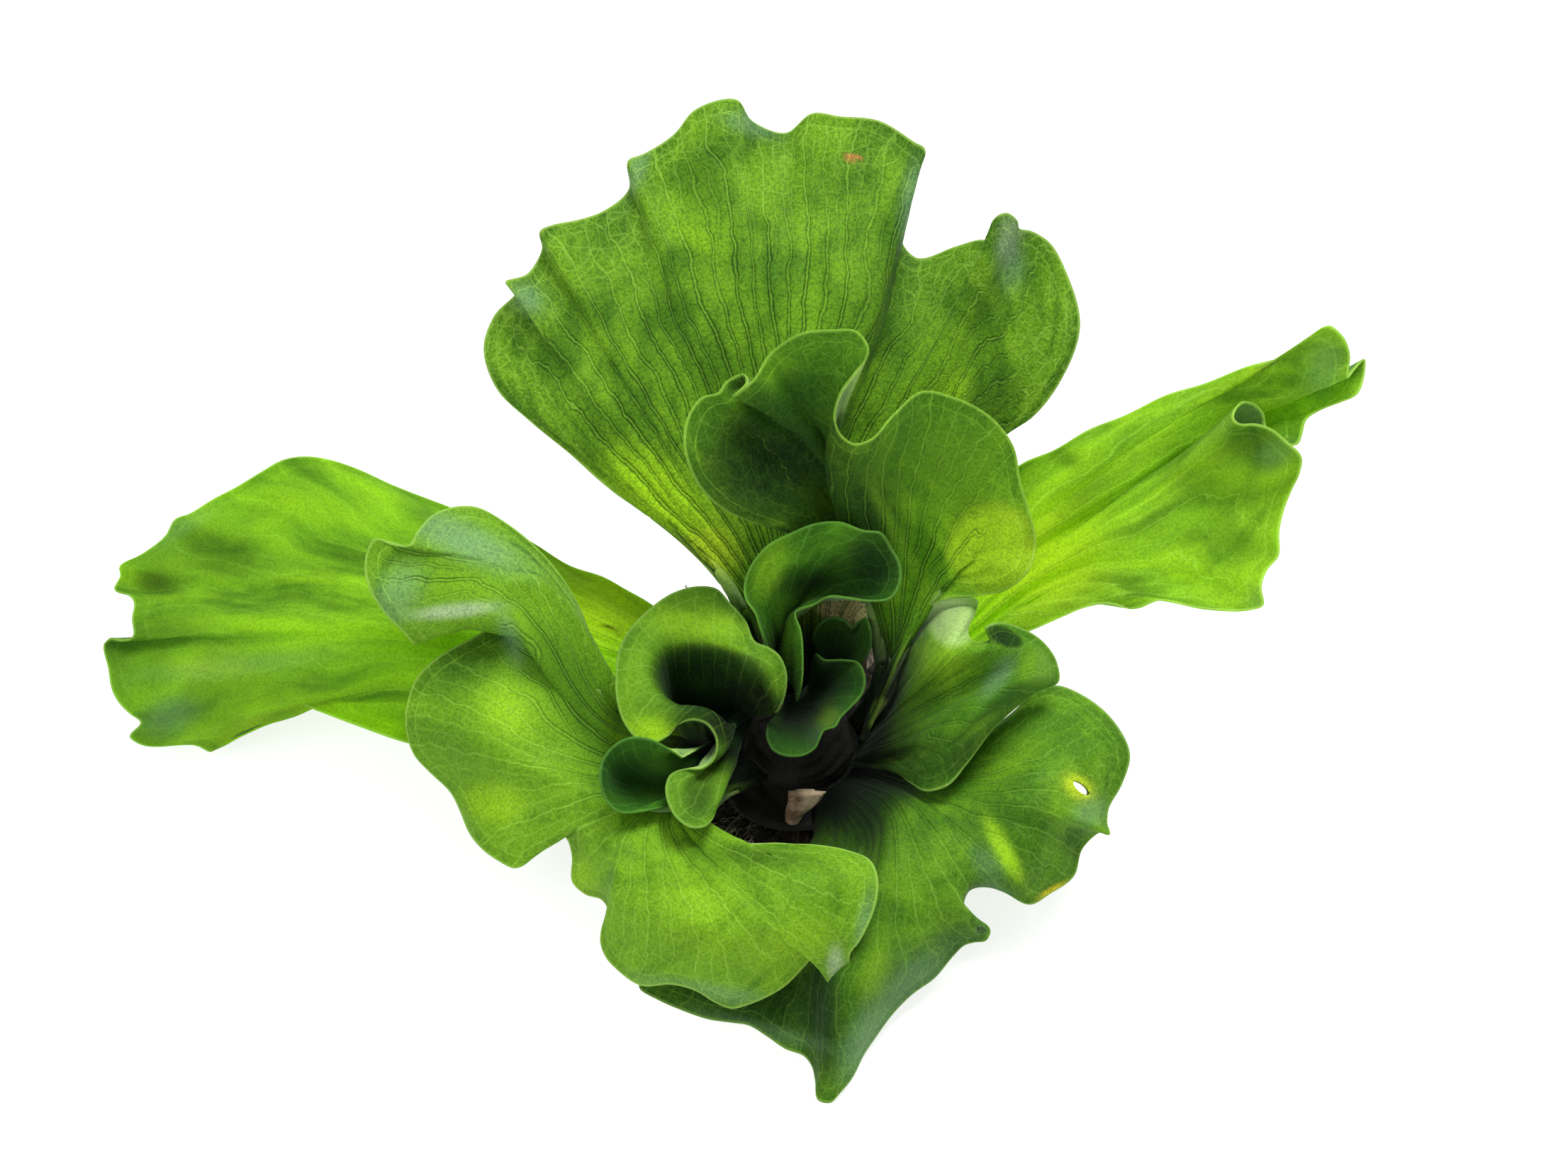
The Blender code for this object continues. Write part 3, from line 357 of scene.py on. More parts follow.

# What most leaves have, and how each leaf is finished.
# grid: columns and rows of its mesh; lane: mm between its main veins at half its length
# sunk: depth of its furrows; ribs: height of its broad ribs
# dark, pale: how strongly its veins show dark near its base and pale beyond; reach: where that changes
# net: strength of the vein net; lit: how much of it has blotches of painted light green; grit: strength of
# its pores
# streak, mottle: strength of the streaks and blotches; stretch: how little those are drawn out
# glow: strength and reach of the painted glow of light through its base; band: how far the ribs interrupt it
# shade: strength, start and end of the dark at its base; through: how much light passes it
# rim: how pale its rim is; tint: what its green is multiplied by
# hole, corded: ovals of the view with a hole, and with corded dark veins
# marks, and patches over them with a harder edge: ovals with a colour and a strength; most paint light, shade
# and sheen, a few are the leaf's own flecks
# An oval is (pixel across, pixel down, half width, half height, turn in degrees), on the side that the
# view sees.
PLAIN_FINISH = {
    "ribs": 0.0, "dark": 0.1, "reach": 0.5, "streak": 0.1, "stretch": 1.0, "mottle": 0.1, "grit": 0.5,
    "band": 0.0, "glow": (0.0, 0.3), "corded": (), "patches": (),
}
FINISH = {}
FINISH["back_leaf"] = {
    "grid": (330, 95), "lane": 2.6, "sunk": 0.22, "dark": 0.9, "pale": 0.95, "net": 0.75, "reach": 0.86,
    "lit": 0.55, "streak": 0.12, "mottle": 0.06, "grit": 0.95, "glow": (0.9, 0.34), "shade": (0.0, 0.2, 0.5),
    "through": 0.26, "rim": 0.6, "tint": (0.76, 0.78, 0.8),
    "patches": ((1197, 860, 46, 20, 0, BEIGE, 0.9), (1203, 222, 13, 6, -4, TAN, 0.85)),
    # Marks: painted light (light greens, yellow-greens, yellow), painted shade (dark greens) and painted
    # sheen (bluish greys, silvers); the beige patch and tan fleck are its own.
    "marks": (
        (1197, 862, 26, 17, 0, BEIGE, 0.9), (1203, 222, 12, 3.5, 8, TAN, 0.9),
        (990, 318, 56, 28, 20, LIT, 0.7), (890, 364, 20, 12, 0, LIT, 0.5), (980, 336, 26, 14, 30, GLOW, 0.3),
        (1140, 440, 40, 70, 10, LIT, 0.7), (976, 560, 20, 70, -20, LIT, 0.6),
        (1346, 495, 40, 22, -40, LIT, 0.6), (1340, 560, 22, 34, 30, GLOW, 0.4),
        (1095, 250, 60, 30, 0, LIT, 0.5), (930, 700, 44, 90, -48, GLOW, 0.85),
        (1000, 780, 40, 40, -40, YELLOW, 0.6), (1070, 590, 34, 90, -10, LIT, 0.5),
        (1240, 440, 42, 60, 10, DEEP, 0.35), (1250, 380, 30, 60, 0, DEEP, 0.3),
        (1395, 560, 30, 46, 40, DEEP, 0.55), (1180, 260, 60, 30, -20, DEEP, 0.3),
        (740, 470, 36, 26, -20, DEEP, 0.15), (820, 430, 60, 22, 30, DEEP, 0.12),
        (898, 240, 13, 40, 20, HAIR_SHEEN, 0.5), (742, 420, 26, 20, 40, HAIR_SHEEN, 0.6),
        (1060, 175, 40, 16, 15, HAIR_SHEEN, 0.5), (1288, 290, 18, 60, 5, HAIR_SHEEN, 0.6),
        (1425, 372, 20, 36, 0, HAIR_SHEEN, 0.45), (1420, 350, 14, 20, 0, SILVER, 0.3),
        (1428, 322, 18, 20, 0, SILVER, 0.35),
    ),
}
FINISH["back_inner_leaf"] = {
    "grid": (280, 75), "lane": 2.2, "sunk": 0.14, "dark": 0.75, "pale": 0.6, "net": 0.4, "reach": 0.75,
    "lit": 0.3, "streak": 0.15, "grit": 0.7, "shade": (0.5, 0.2, 0.6), "through": 0.2, "rim": 0.3,
    "tint": (1.12, 1.18, 0.9),
    # Patches: painted light where light shines through its lower right, and its own olive patch with its
    # crack.
    "patches": (
        (1398, 782, 66, 70, 25, GLOW, 0.72), (1244, 1012, 18, 28, 0, OLIVE, 0.85),
        (1234, 1008, 2.5, 12, 12, BLACK_SHADE_AND_CRACK, 0.8),
    ),
    # Marks: painted shade (dark greens, near blacks) and painted light (light greens, yellow); the ochre
    # fleck is its own.
    "marks": (
        (1090, 650, 150, 110, 0, SHADE, 1.0), (1120, 560, 60, 40, -30, DEEP, 0.7),
        (1210, 740, 60, 70, 40, SHADE, 0.85), (1230, 820, 30, 60, 0, SHADE, 0.7),
        (1350, 660, 70, 60, 20, LIT, 0.5), (1400, 740, 44, 34, 0, YELLOW, 0.3),
        (1268, 760, 10, 84, -28, LIT, 0.6), (1041, 543, 16, 9, -30, BLACK_SHADE_AND_CRACK, 0.8),
        (1240, 930, 22, 50, 0, SHADE, 0.7), (1248, 960, 7, 22, 10, BLACK_SHADE_AND_CRACK, 0.8),
        (1240, 1050, 26, 16, 0, OCHRE, 0.25), (1310, 842, 18, 26, 20, LIT, 0.9),
    ),
}
FINISH["right_leaf"] = {
    "grid": (280, 72), "lane": 3.0, "sunk": 0.1, "ribs": 0.28, "dark": 0.2, "pale": 0.55, "net": 0.15,
    "lit": 0.85, "streak": 0.6, "stretch": 0.3, "mottle": 0.12, "band": 0.6, "glow": (1.0, 0.8),
    "shade": (0.0, 0.2, 0.5), "through": 0.6, "rim": 0.5, "tint": (1.5, 1.32, 2.0),
    # Marks: painted shade (dark greens), painted light (yellow-green, yellow, light green) and painted sheen
    # (bluish greys).
    "marks": (
        (1523, 690, 26, 60, 45, DEEP, 0.3), (1500, 645, 26, 12, 30, DEEP, 0.45),
        (1760, 622, 40, 34, 30, DEEP, 0.5), (1700, 690, 60, 30, 20, DEEP, 0.3),
        (1560, 582, 50, 14, 22, GLOW, 0.35), (1470, 790, 100, 80, -20, YELLOW, 0.75),
        (1868, 520, 26, 40, 20, HAIR_SHEEN, 0.5), (1800, 640, 30, 20, -30, HAIR_SHEEN, 0.4),
        (1780, 845, 22, 20, 0, HAIR_SHEEN, 0.4), (1740, 780, 40, 34, 0, LIT, 0.5),
    ),
}
FINISH["left_leaf"] = {
    "grid": (220, 72), "lane": 3.4, "sunk": 0.1, "ribs": 0.3, "dark": 0.25, "pale": 0.3, "net": 0.08,
    "lit": 0.9, "streak": 0.6, "stretch": 0.3, "mottle": 0.05, "band": 0.3, "glow": (0.9, 0.8),
    "shade": (0.0, 0.2, 0.5), "through": 0.6, "rim": 0.5, "tint": (1.2, 1.16, 1.5),
    # Marks: painted shade (dark greens), painted light (yellow-greens, yellows, also on the flap and the foot
    # that lie in shade) and painted sheen (bluish greys); the brown flecks are its own.
    "marks": (
        (218, 822, 34, 18, 8, SHADE, 0.7), (300, 775, 60, 26, 25, DEEP, 0.55),
        (420, 720, 90, 18, 12, GLOW, 0.3), (420, 884, 180, 12, 2, GLOW, 0.4),
        (640, 915, 120, 60, 10, GLOW, 0.45), (470, 780, 90, 30, 8, DEEP, 0.2),
        (330, 940, 130, 16, -6, HAIR_SHEEN, 0.3), (240, 1010, 40, 26, -20, HAIR_SHEEN, 0.55),
        (250, 745, 60, 14, -28, HAIR_SHEEN, 0.35), (290, 940, 60, 10, 5, YELLOW, 0.2),
        (510, 1020, 100, 24, 15, GLOW, 0.95), (830, 850, 100, 52, 25, YELLOW, 0.9),
        (740, 800, 90, 30, 25, GLOW, 0.8), (860, 885, 10, 3, 20, BROWN, 0.9),
        (875, 890, 3, 8, 20, BROWN, 0.8),
    ),
}
FINISH["front_left_leaf"] = {
    "grid": (400, 88), "lane": 2.7, "sunk": 0.07, "dark": 0.12, "pale": 0.85, "net": 0.4, "lit": 0.85,
    "streak": 0.15, "grit": 0.7, "shade": (0.85, 0.1, 0.26), "through": 0.26, "rim": 0.55,
    "tint": (0.84, 0.88, 0.8),
    "corded": ((785, 960, 175, 58, 54), (600, 800, 90, 40, 20)),
    # Marks: painted light (yellow-greens), painted shade (dark greens) and painted sheen and highlights
    # (bluish greys, silvers); the mid greens even out its green.
    "marks": (
        (698, 1133, 44, 30, 10, GLOW, 0.7), (713, 1007, 44, 34, 20, GLOW, 0.45),
        (800, 1240, 40, 30, 0, GLOW, 0.4), (986, 1285, 80, 60, 20, GLOW, 0.28),
        (1190, 1236, 44, 26, 30, GLOW, 0.25), (1120, 1330, 60, 30, -20, GLOW, 0.3),
        (667, 945, 66, 26, -30, DEEP, 0.6), (800, 960, 30, 90, -30, DEEP, 0.55),
        (840, 1040, 26, 60, -20, DEEP, 0.5), (1070, 1208, 90, 16, 4, SHADE, 0.55),
        (1060, 1240, 14, 50, -35, DEEP, 0.35), (640, 1150, 16, 50, -30, HAIR_SHEEN, 0.3),
        (1179, 1361, 12, 26, 0, SILVER, 0.6), (1220, 1300, 12, 50, 10, HAIR_SHEEN, 0.5),
        (650, 760, 100, 26, 24, HAIR_SHEEN, 0.7), (720, 900, 14, 40, -20, HAIR_SHEEN, 0.5),
        (640, 862, 60, 10, -6, SILVER, 0.7), (560, 840, 30, 50, 30, HAIR_SHEEN, 0.5),
        (640, 1040, 60, 90, -20, MID, 0.5), (1165, 1250, 70, 44, 10, MID, 0.5),
        (820, 930, 60, 90, -30, MID, 0.4), (650, 925, 60, 26, -32, DEEP, 0.7),
        (1000, 1400, 120, 14, 10, HAIR_SHEEN, 0.4),
    ),
}
FINISH["front_right_leaf"] = {
    "grid": (350, 98), "lane": 3.2, "sunk": 0.08, "dark": 0.2, "pale": 0.7, "net": 0.45, "reach": 0.55,
    "lit": 0.4, "streak": 0.12, "mottle": 0.12, "grit": 0.7, "shade": (0.9, 0.1, 0.36), "through": 0.24,
    "rim": 0.5, "tint": (0.62, 0.69, 0.66), "hole": (1524, 1112, 14, 5.5, 38),
    # Patch: painted shade in the curl by the notch.
    "patches": ((1384, 1312, 9, 6, 10, BLACK_SHADE_AND_CRACK, 0.85),),
    # Marks: painted shade (dark greens), painted light (the wider yellow-greens) and painted sheen (bluish
    # greys); the narrow yellow-green streak, the yellow halo round the hole and the ochre fleck are its own;
    # the mid green evens out its green.
    "marks": (
        (1415, 1198, 13, 50, -28, GLOW, 0.75), (1522, 1111, 24, 15, 38, YELLOW, 0.9),
        (1393, 1222, 18, 34, -30, HAIR_SHEEN, 0.25), (1540, 1144, 26, 20, -20, HAIR_SHEEN, 0.4),
        (1484, 1256, 22, 5, -30, OCHRE, 0.9), (1233, 1370, 22, 40, 20, GLOW, 0.25),
        (1234, 1140, 36, 76, 0, SHADE, 0.95), (1275, 1100, 34, 44, 0, SHADE, 0.75),
        (1160, 1440, 30, 110, 0, SHADE, 0.85), (1060, 1400, 130, 60, 14, SHADE, 0.75),
        (1060, 1450, 110, 12, 14, HAIR_SHEEN, 0.3), (1290, 1385, 60, 26, -45, HAIR_SHEEN, 0.4),
        (1225, 1470, 30, 60, 30, HAIR_SHEEN, 0.5), (1480, 1030, 80, 50, 10, MID, 0.5),
        (1420, 1080, 60, 20, -40, GLOW, 0.15), (1450, 1170, 50, 34, 20, DEEP, 0.3),
    ),
}
FINISH["right_inner_leaf"] = {
    "grid": (220, 70), "lane": 2.8, "sunk": 0.06, "pale": 0.5, "net": 0.3, "reach": 0.7, "lit": 0.4,
    "streak": 0.15, "mottle": 0.12, "grit": 0.6, "shade": (0.7, 0.1, 0.5), "through": 0.2, "rim": 0.4,
    "tint": (0.78, 0.84, 0.85),
    # Patches: the felted underside of its rolled margin, its own colour, and painted shade under the hook.
    "patches": ((1344, 881, 34, 34, 0, FELT, 0.85), (1418, 898, 30, 12, 28, SHADE, 0.9)),
    # Marks: painted shade (dark greens), painted light (yellow-green, light green) and painted sheen (bluish
    # grey); the felt is its own.
    "marks": (
        (1342, 860, 36, 30, 20, FELT, 0.75), (1330, 930, 44, 40, 0, GLOW, 0.3),
        (1412, 900, 22, 10, 10, SHADE, 0.85), (1408, 955, 34, 14, -50, HAIR_SHEEN, 0.5),
        (1340, 1070, 60, 40, -30, SHADE, 0.6), (1420, 985, 50, 20, -40, DEEP, 0.6),
        (1460, 940, 24, 30, 0, LIT, 0.6), (1310, 1010, 50, 70, 0, DEEP, 0.5),
    ),
}
FINISH["left_inner_leaf"] = {
    "grid": (300, 50), "lane": 3.0, "sunk": 0.05, "pale": 0.7, "net": 0.3, "lit": 0.7, "mottle": 0.15,
    "grit": 0.6, "shade": (0.97, 0.4, 0.52), "through": 0.2, "rim": 0.45, "tint": (0.6, 0.67, 0.66),
    # Patches: painted shade in the cup's cavity.
    "patches": ((1003, 958, 84, 52, 8, SHADE, 0.95), (1052, 1012, 60, 46, 0, BLACK_SHADE_AND_CRACK, 0.95)),
    # Marks: painted light (yellow-greens) on the rolled band, painted shade (dark greens, near blacks) in the
    # cavity.
    "marks": (
        (925, 1035, 40, 22, 20, GLOW, 0.75), (890, 960, 14, 60, 10, GLOW, 0.1),
        (985, 880, 80, 24, 4, GLOW, 0.35), (985, 1000, 50, 40, 0, SHADE, 0.8),
        (970, 940, 44, 30, 0, SHADE, 0.8), (1060, 980, 26, 26, 0, BLACK_SHADE_AND_CRACK, 0.8),
        (985, 1125, 26, 34, 0, SHADE, 0.7), (1040, 1010, 40, 50, 0, BLACK_SHADE_AND_CRACK, 0.8),
    ),
}
FINISH["heart_leaf_back"] = {
    "grid": (200, 50), "lane": 2.8, "sunk": 0.05, "pale": 0.6, "net": 0.3, "lit": 0.5, "mottle": 0.12,
    "grit": 0.6, "shade": (0.92, 0.34, 0.6), "through": 0.12, "rim": 0.35, "tint": (0.46, 0.66, 0.6),
    # Marks: painted shade (dark greens) and painted light (yellow-green, light green).
    "marks": (
        (1232, 800, 50, 62, 0, SHADE, 1.0), (1160, 825, 66, 26, 0, SHADE, 0.95),
        (1085, 800, 22, 50, 20, GLOW, 0.3), (1105, 900, 16, 50, 0, LIT, 0.3),
    ),
}
FINISH["heart_leaf_centre"] = {
    "grid": (150, 40), "lane": 2.4, "sunk": 0.04, "pale": 0.3, "net": 0.2, "lit": 0.3,
    "shade": (0.7, 0.2, 0.8), "through": 0.08, "rim": 0.25, "tint": (0.34, 0.52, 0.45),
    # Marks: painted shade (dark greens) and painted light (yellow-green).
    "marks": (
        (1185, 955, 44, 34, 0, SHADE, 0.8), (1120, 1035, 40, 22, 0, DEEP, 0.6),
        (1165, 1010, 18, 16, 0, GLOW, 0.3),
    ),
}
FINISH["heart_leaf_left"] = {
    "grid": (110, 40), "lane": 2.4, "sunk": 0.04, "pale": 0.35, "net": 0.2, "lit": 0.3,
    "shade": (0.85, 0.3, 0.85), "through": 0.08, "rim": 0.25, "tint": (0.4, 0.6, 0.6),
    # Marks: painted shade.
    "marks": ((886, 1096, 44, 46, 0, SHADE, 0.8), (905, 1110, 14, 14, 0, DEEP, 0.5)),
}
FINISH["heart_leaf_small"] = {
    "grid": (100, 35), "lane": 2.2, "sunk": 0.04, "pale": 0.3, "net": 0.2, "lit": 0.2,
    "shade": (0.8, 0.3, 0.9), "through": 0.08, "rim": 0.25, "tint": (0.4, 0.6, 0.6),
    # Mark: painted shade.
    "marks": ((1190, 890, 50, 40, 0, SHADE, 0.85),),
}

# Leaf tissue
MARGIN_THICKNESS = 0.42
BASE_THICKNESS = 1.4
INNER_BASE_THICKNESS = 1.1
HEART_THICKNESS = 0.42
RIM_SHARE = 0.6  # how much of that is left at the rim
RIM_TAPER = 2.2  # which the blade thins out towards from here
RIM_ANGLES = (-60, -30, 0, 30, 60)  # the round edge, from the underside to the top
LANE_ROW = 0.55  # how far up the leaf its lanes are measured
LANE_BLUR = 0.01  # share of the columns that they are evened out over
GAP_BLUR = 4  # rows that their width is evened out over
SLANT_BLUR = 3  # columns that the slant of the margin is evened out over
VEIN_STARTS = ((0.2, 0.7), (1.6, 3.0), (3.6, 5.5))  # mm of a lane's width that its veins come in over
VEIN_LINE = (0.05, 0.6)  # a vein's half width and soft edge in the relief
UNDER_VEIN_HEIGHT = 0.34
VEIN_FADE = (0.75, 0.45, 0.95)  # share that the relief of the veins loses up the leaf, from and up to
RIB_START = (0.5, 1.5)  # mm of a lane's width that its broad rib comes in over
RELIEF_RIM = (0.4, 2.5)  # mm from the rim that the relief comes in over
PLUMPNESS = (1.1, 1.6, 0.03)  # of the tissue between the veins: (across, along, height)
WAVES = ((6.5, 9.0, 0.30), (2.6, 4.2, 0.10))  # the blade's unevenness: (across, along, height)
WAVES_UP, WAVES_RIM = (0.05, 0.3), (0.5, 5)  # where it comes in from the foot and from the rim
KINKS = ((8.0, 7.0, 0.16), (3.0, 4.0, 0.06))  # how the veins wander: (across, along, share of a lane)
RIDGE = (0.035, 0.06, 0.9)  # shares of a leaf that its ridges stand out from, and mm that they do; its hollows get painted shade
SHADED_CROWN = {"reach": (21.0, 9.0), "height": (26.0, 14.0)}  # where shade is painted in the crown, near its middle and low down
FACING = (-0.12, 0.1)  # how far a side must turn to the view to show a mark
MARK_EDGE = 3.0  # how sharply a mark ends
PATCH_EDGE = 10.0  # and a patch
HOLE_ROOM = 2.1  # how many times its size a hole takes up in the mesh
HOLE_REACH = 5.0  # and how far the mesh is drawn in round it
HOLE_CLEAR = 6  # rows next to the margin that are drawn in less
HOLE_GRIP = 1.1  # how far out, in sizes of the hole, its edge takes its points from

# What a blade's mesh keeps at each point for its skins
FIELDS = {
    "flow": ("across", "length", "lane"),
    "place": ("up", "gap", "rim"),
    "tone": ("glow", "well", "ridge"),
    "depth": ("shade", "corded"),
}

# Textures of the skins
BROAD, FINE, WOBBLE = 0.11, 0.45, 0.36  # scales on the blade, per mm
STREAK = (1.9, 0.045)  # per lane and per mm
UNDER_BROAD, UNDER_FINE = 0.14, 0.7  # per mm, on the underside
GRAIN, PORES, WIDE_NET, SMALL_NET = 2800.0, 3300.0, 430.0, 1050.0  # scales in space, per metre
FELT_GRAIN, UNDER_NET = 3200.0, 900.0
NET_DRIFT = (520.0, 0.0012)  # scale and distance that the nets are bent by
VEIN_CORE = (0.05, 0.10)  # half width and soft edge of a vein's pale core
VEIN_WALLS = (0.17, 0.15)  # and of its dark walls
UNDER_VEIN = (0.15, 0.45)  # and of a vein on the underside
RELIEF_DEPTH = 0.14  # mm of the skins' own bumps
TOP_SHIFT, STREAK_SHIFT, UNDER_SHIFT = 17.0, 3.0, 11.0  # how far apart the leaves lie in the noise

# Roots: a tuft on the surface that the plant rests on, longest at the back left
ROOT_REACH = ((0, 24), (60, 25), (95, 31), (118, 35), (140, 31), (180, 24), (240, 22), (300, 22), (360, 24))
ROOT_COUNT = 112
ROOT_STEPS = 22  # points along a root
ROOT_START = 3.0  # distance of the roots' feet from the middle
ROOT_RADII = (0.30, 0.10)  # at its foot and its tip
ROOT_HAIRS = 34
ROOT_LENGTHS = (0.72, 0.97)  # shares of the reach
ROOT_TURN = 0.06  # how far a root's direction is off, in radians
ROOT_RISE = (0.45, 3.6)  # lowest height, and what the highest stand above it
ROOT_LEVELS = (0.15, 1.0)  # shares of that
ROOT_WANDER = ((2.6, 3.2, 1.7), (0.7, 9.0, 2.3))  # (distance aside, waves, difference between neighbours)
HAIR_SPAN = (0.22, 0.97)  # the stretch of a root that has hairs
HAIR_ANGLES = (0.6, 1.35)  # radians from the root's direction
HAIR_LENGTHS = (1.4, 3.6)
HAIR_LIFT = 0.3  # steepest rise or fall
HAIR_BEND = 0.7  # radians that a hair bends back along its root
HAIR_HEIGHTS = (0.2, 4.5)  # lowest and highest
HAIR_RADII = (0.09, 0.08, 0.06, 0.03)  # from its foot to its tip
CORE_SIDES = 360
ROOT_CORE = ((0.74, 0.12), (0.70, 0.6), (0.62, 1.2), (0.50, 2.2), (0.36, 3.4), (0.2, 4.2))  # (share, height)
CORE_FRINGE = 2  # lowest bands of the core that have the skin of the strands
CORE_BULGE = (0.28, 68, 9)  # share, turn and spread in degrees
CORE_ROUGHNESS = 0.12  # share of its reach that its ridges take up
CORE_RAGGED = ((1.0, 22, 3), (0.6, 51, 9))  # (share of the roughness, waves round it, waves outwards)

# Stem, and the stub of a shed leaf in front of it
STEM_PROFILE = (
    (8.5, 5.0), (10.6, 5.2), (10.4, 5.6), (7.0, 5.9), (6.2, 6.6), (6.2, 9.0), (4.6, 11.2), (2.2, 12.0),
)
STEM_SHRINK = 0.25  # mm that the looks stay inside the plain solid, to leave room for scars
STEM_LEVELS, STEM_SIDES = 46, 96
SCAR_HEIGHT, KNOB_HEIGHT = 0.18, 0.16
STUB_RINGS = (
    (-1.0, -9.4, 6.0, 1.6, 1.4), (-0.6, -9.9, 8.4, 2.4, 1.5), (0.2, -10.3, 10.6, 3.4, 1.3),
    (0.6, -10.5, 12.8, 4.2, 0.9),
)  # (across, back, height, width, depth)
STUB_LEVELS, STUB_SIDES = 26, 48
STUB_TEAR, STUB_CREASE = 0.35, 0.06


def unit(vectors):
    return vectors / np.linalg.norm(vectors, axis=-1, keepdims=True)


# The view

VIEW_RIGHT = np.array((1.0, 0.0, 0.0))
VIEW_UP = np.array((0.0, sin(VIEW_ELEVATION), cos(VIEW_ELEVATION)))
VIEW_AHEAD = np.array((0.0, cos(VIEW_ELEVATION), -sin(VIEW_ELEVATION)))
PIXEL = VIEW_WIDTH / VIEW_PIXELS[0]
FOCAL = VIEW_DISTANCE / PIXEL
MIDDLE = (VIEW_PIXELS[0] / 2, VIEW_PIXELS[1] / 2)
ACROSS = (MIDDLE[0] - CROWN_PIXEL[0]) * PIXEL
RISE = (CROWN_PIXEL[1] - MIDDLE[1]) * PIXEL
EYE = CROWN + ACROSS * VIEW_RIGHT + RISE * VIEW_UP - VIEW_DISTANCE * VIEW_AHEAD


def seen(across, down, height):
    """The point where the sight line through a pixel meets a height."""
    ray = VIEW_AHEAD + (across - MIDDLE[0]) / FOCAL * VIEW_RIGHT + (MIDDLE[1] - down) / FOCAL * VIEW_UP
    return EYE + (height - EYE[2]) / ray[2] * ray


def pixels_of(points):
    """The pixels, across and down, in which the view shows the points."""
    from_eye = points - EYE
    scale = FOCAL / (from_eye @ VIEW_AHEAD)
    return MIDDLE[0] + from_eye @ VIEW_RIGHT * scale, MIDDLE[1] - from_eye @ VIEW_UP * scale


# Smooth curves and leaf surfaces


def knots_of(points):
    """Places 0 to 1 of the points along their line, closer together where the points are."""
    steps = np.linalg.norm(np.diff(points, axis=0), axis=1) ** KNOT_POWER
    along = np.concatenate(((0.0,), np.cumsum(steps)))
    return along / along[-1]


def smooth_curve(knots, points, places):
    """A smooth curve through the points at their knots, read at the places."""
    knots = np.asarray(knots, float)
    gaps = np.diff(knots)[:, None]
    slopes = np.diff(points, axis=0) / gaps
    inner = (slopes[:-1] * gaps[1:] + slopes[1:] * gaps[:-1]) / (gaps[1:] + gaps[:-1])
    tangents = np.concatenate((slopes[:1], inner, slopes[-1:]))
    left = np.clip(np.searchsorted(knots, places, side="right") - 1, 0, len(knots) - 2)
    gap = gaps[left]
    x = (np.asarray(places) - knots[left])[:, None] / gap
    start, end = points[left], points[left + 1]
    ease_in = x * x * (3 - 2 * x)
    leave = tangents[left] * gap * x * (1 - x) ** 2
    arrive = tangents[left + 1] * gap * x * x * (x - 1)
    return start * (1 - ease_in) + end * ease_in + leave + arrive


def softened(grid, spread, axis):
    """The grid smoothed along one axis over a spread of steps, with straight ends."""
    grid = np.moveaxis(grid, axis, 0)
    reach = min(int(3 * spread) + 1, len(grid) - 1)
    weights = np.exp(-0.5 * (np.arange(-reach, reach + 1) / spread) ** 2)
    weights /= weights.sum()
    before = 2 * grid[:1] - grid[reach:0:-1]
    after = 2 * grid[-1:] - grid[-2 : -reach - 2 : -1]
    longer = np.concatenate((before, grid, after))
    smooth = sum(weight * longer[step : step + len(grid)] for step, weight in enumerate(weights))
    return np.moveaxis(smooth, 0, axis)


def foot_row(foot, count):
    """The line where a leaf leaves the stem, clockwise as seen from above its outer side."""
    turn, radius, height, width = foot
    spread = width / radius / 2
    turns = radians(turn) + np.linspace(spread, -spread, count)
    return np.stack((radius * np.cos(turns), radius * np.sin(turns), np.full(count, height)), axis=1)


def rib_row(leaf, knots, station, foot, margin, across):
    """One inner row of a leaf: a smooth line through its ribs, from one side to the other."""
    share = STATIONS[station]
    plain = foot * (1 - share) + margin * share
    ribs = sorted(leaf["ribs"].items())
    places = [0.0, *(knots[index] for index, rib in ribs), 1.0]
    points = [plain[0], *(seen(*rib[station - 1]) for index, rib in ribs), plain[-1]]
    return smooth_curve(places, np.array(points), across)


def faded(sheet, up, turn, fade, tip_fade, blur):
    """The sheet with a turn of its margin, which fades towards the foot: slowly in a notch, fast at a tip."""
    outward = (sheet[-1] - sheet[-2]) / (up[-1] - up[-2])
    toward = unit(EYE - sheet[-1])
    fades, deepest = np.full(len(turn), float(fade)), np.full(len(turn), -np.inf)
    for way in (outward, outward - (outward * toward).sum(1)[:, None] * toward):
        room = np.linalg.norm(way, axis=1)
        inward = -(turn * way).sum(1) / room
        fades = np.minimum(fades, np.clip(NOTCH_ROOM * room / np.maximum(inward, 1e-6), NOTCH_FADE, fade))
        deepest = np.maximum(deepest, inward)
    tip = ease(np.linalg.norm(turn, axis=1), *TIP_SIZE) * (1 - ease(deepest, *TIP_DEPTH))
    fades += (tip_fade - fades) * tip
    fades = 1 / softened(1 / fades[:, None], blur, 0)
    return sheet + up[:, None, None] ** fades * turn


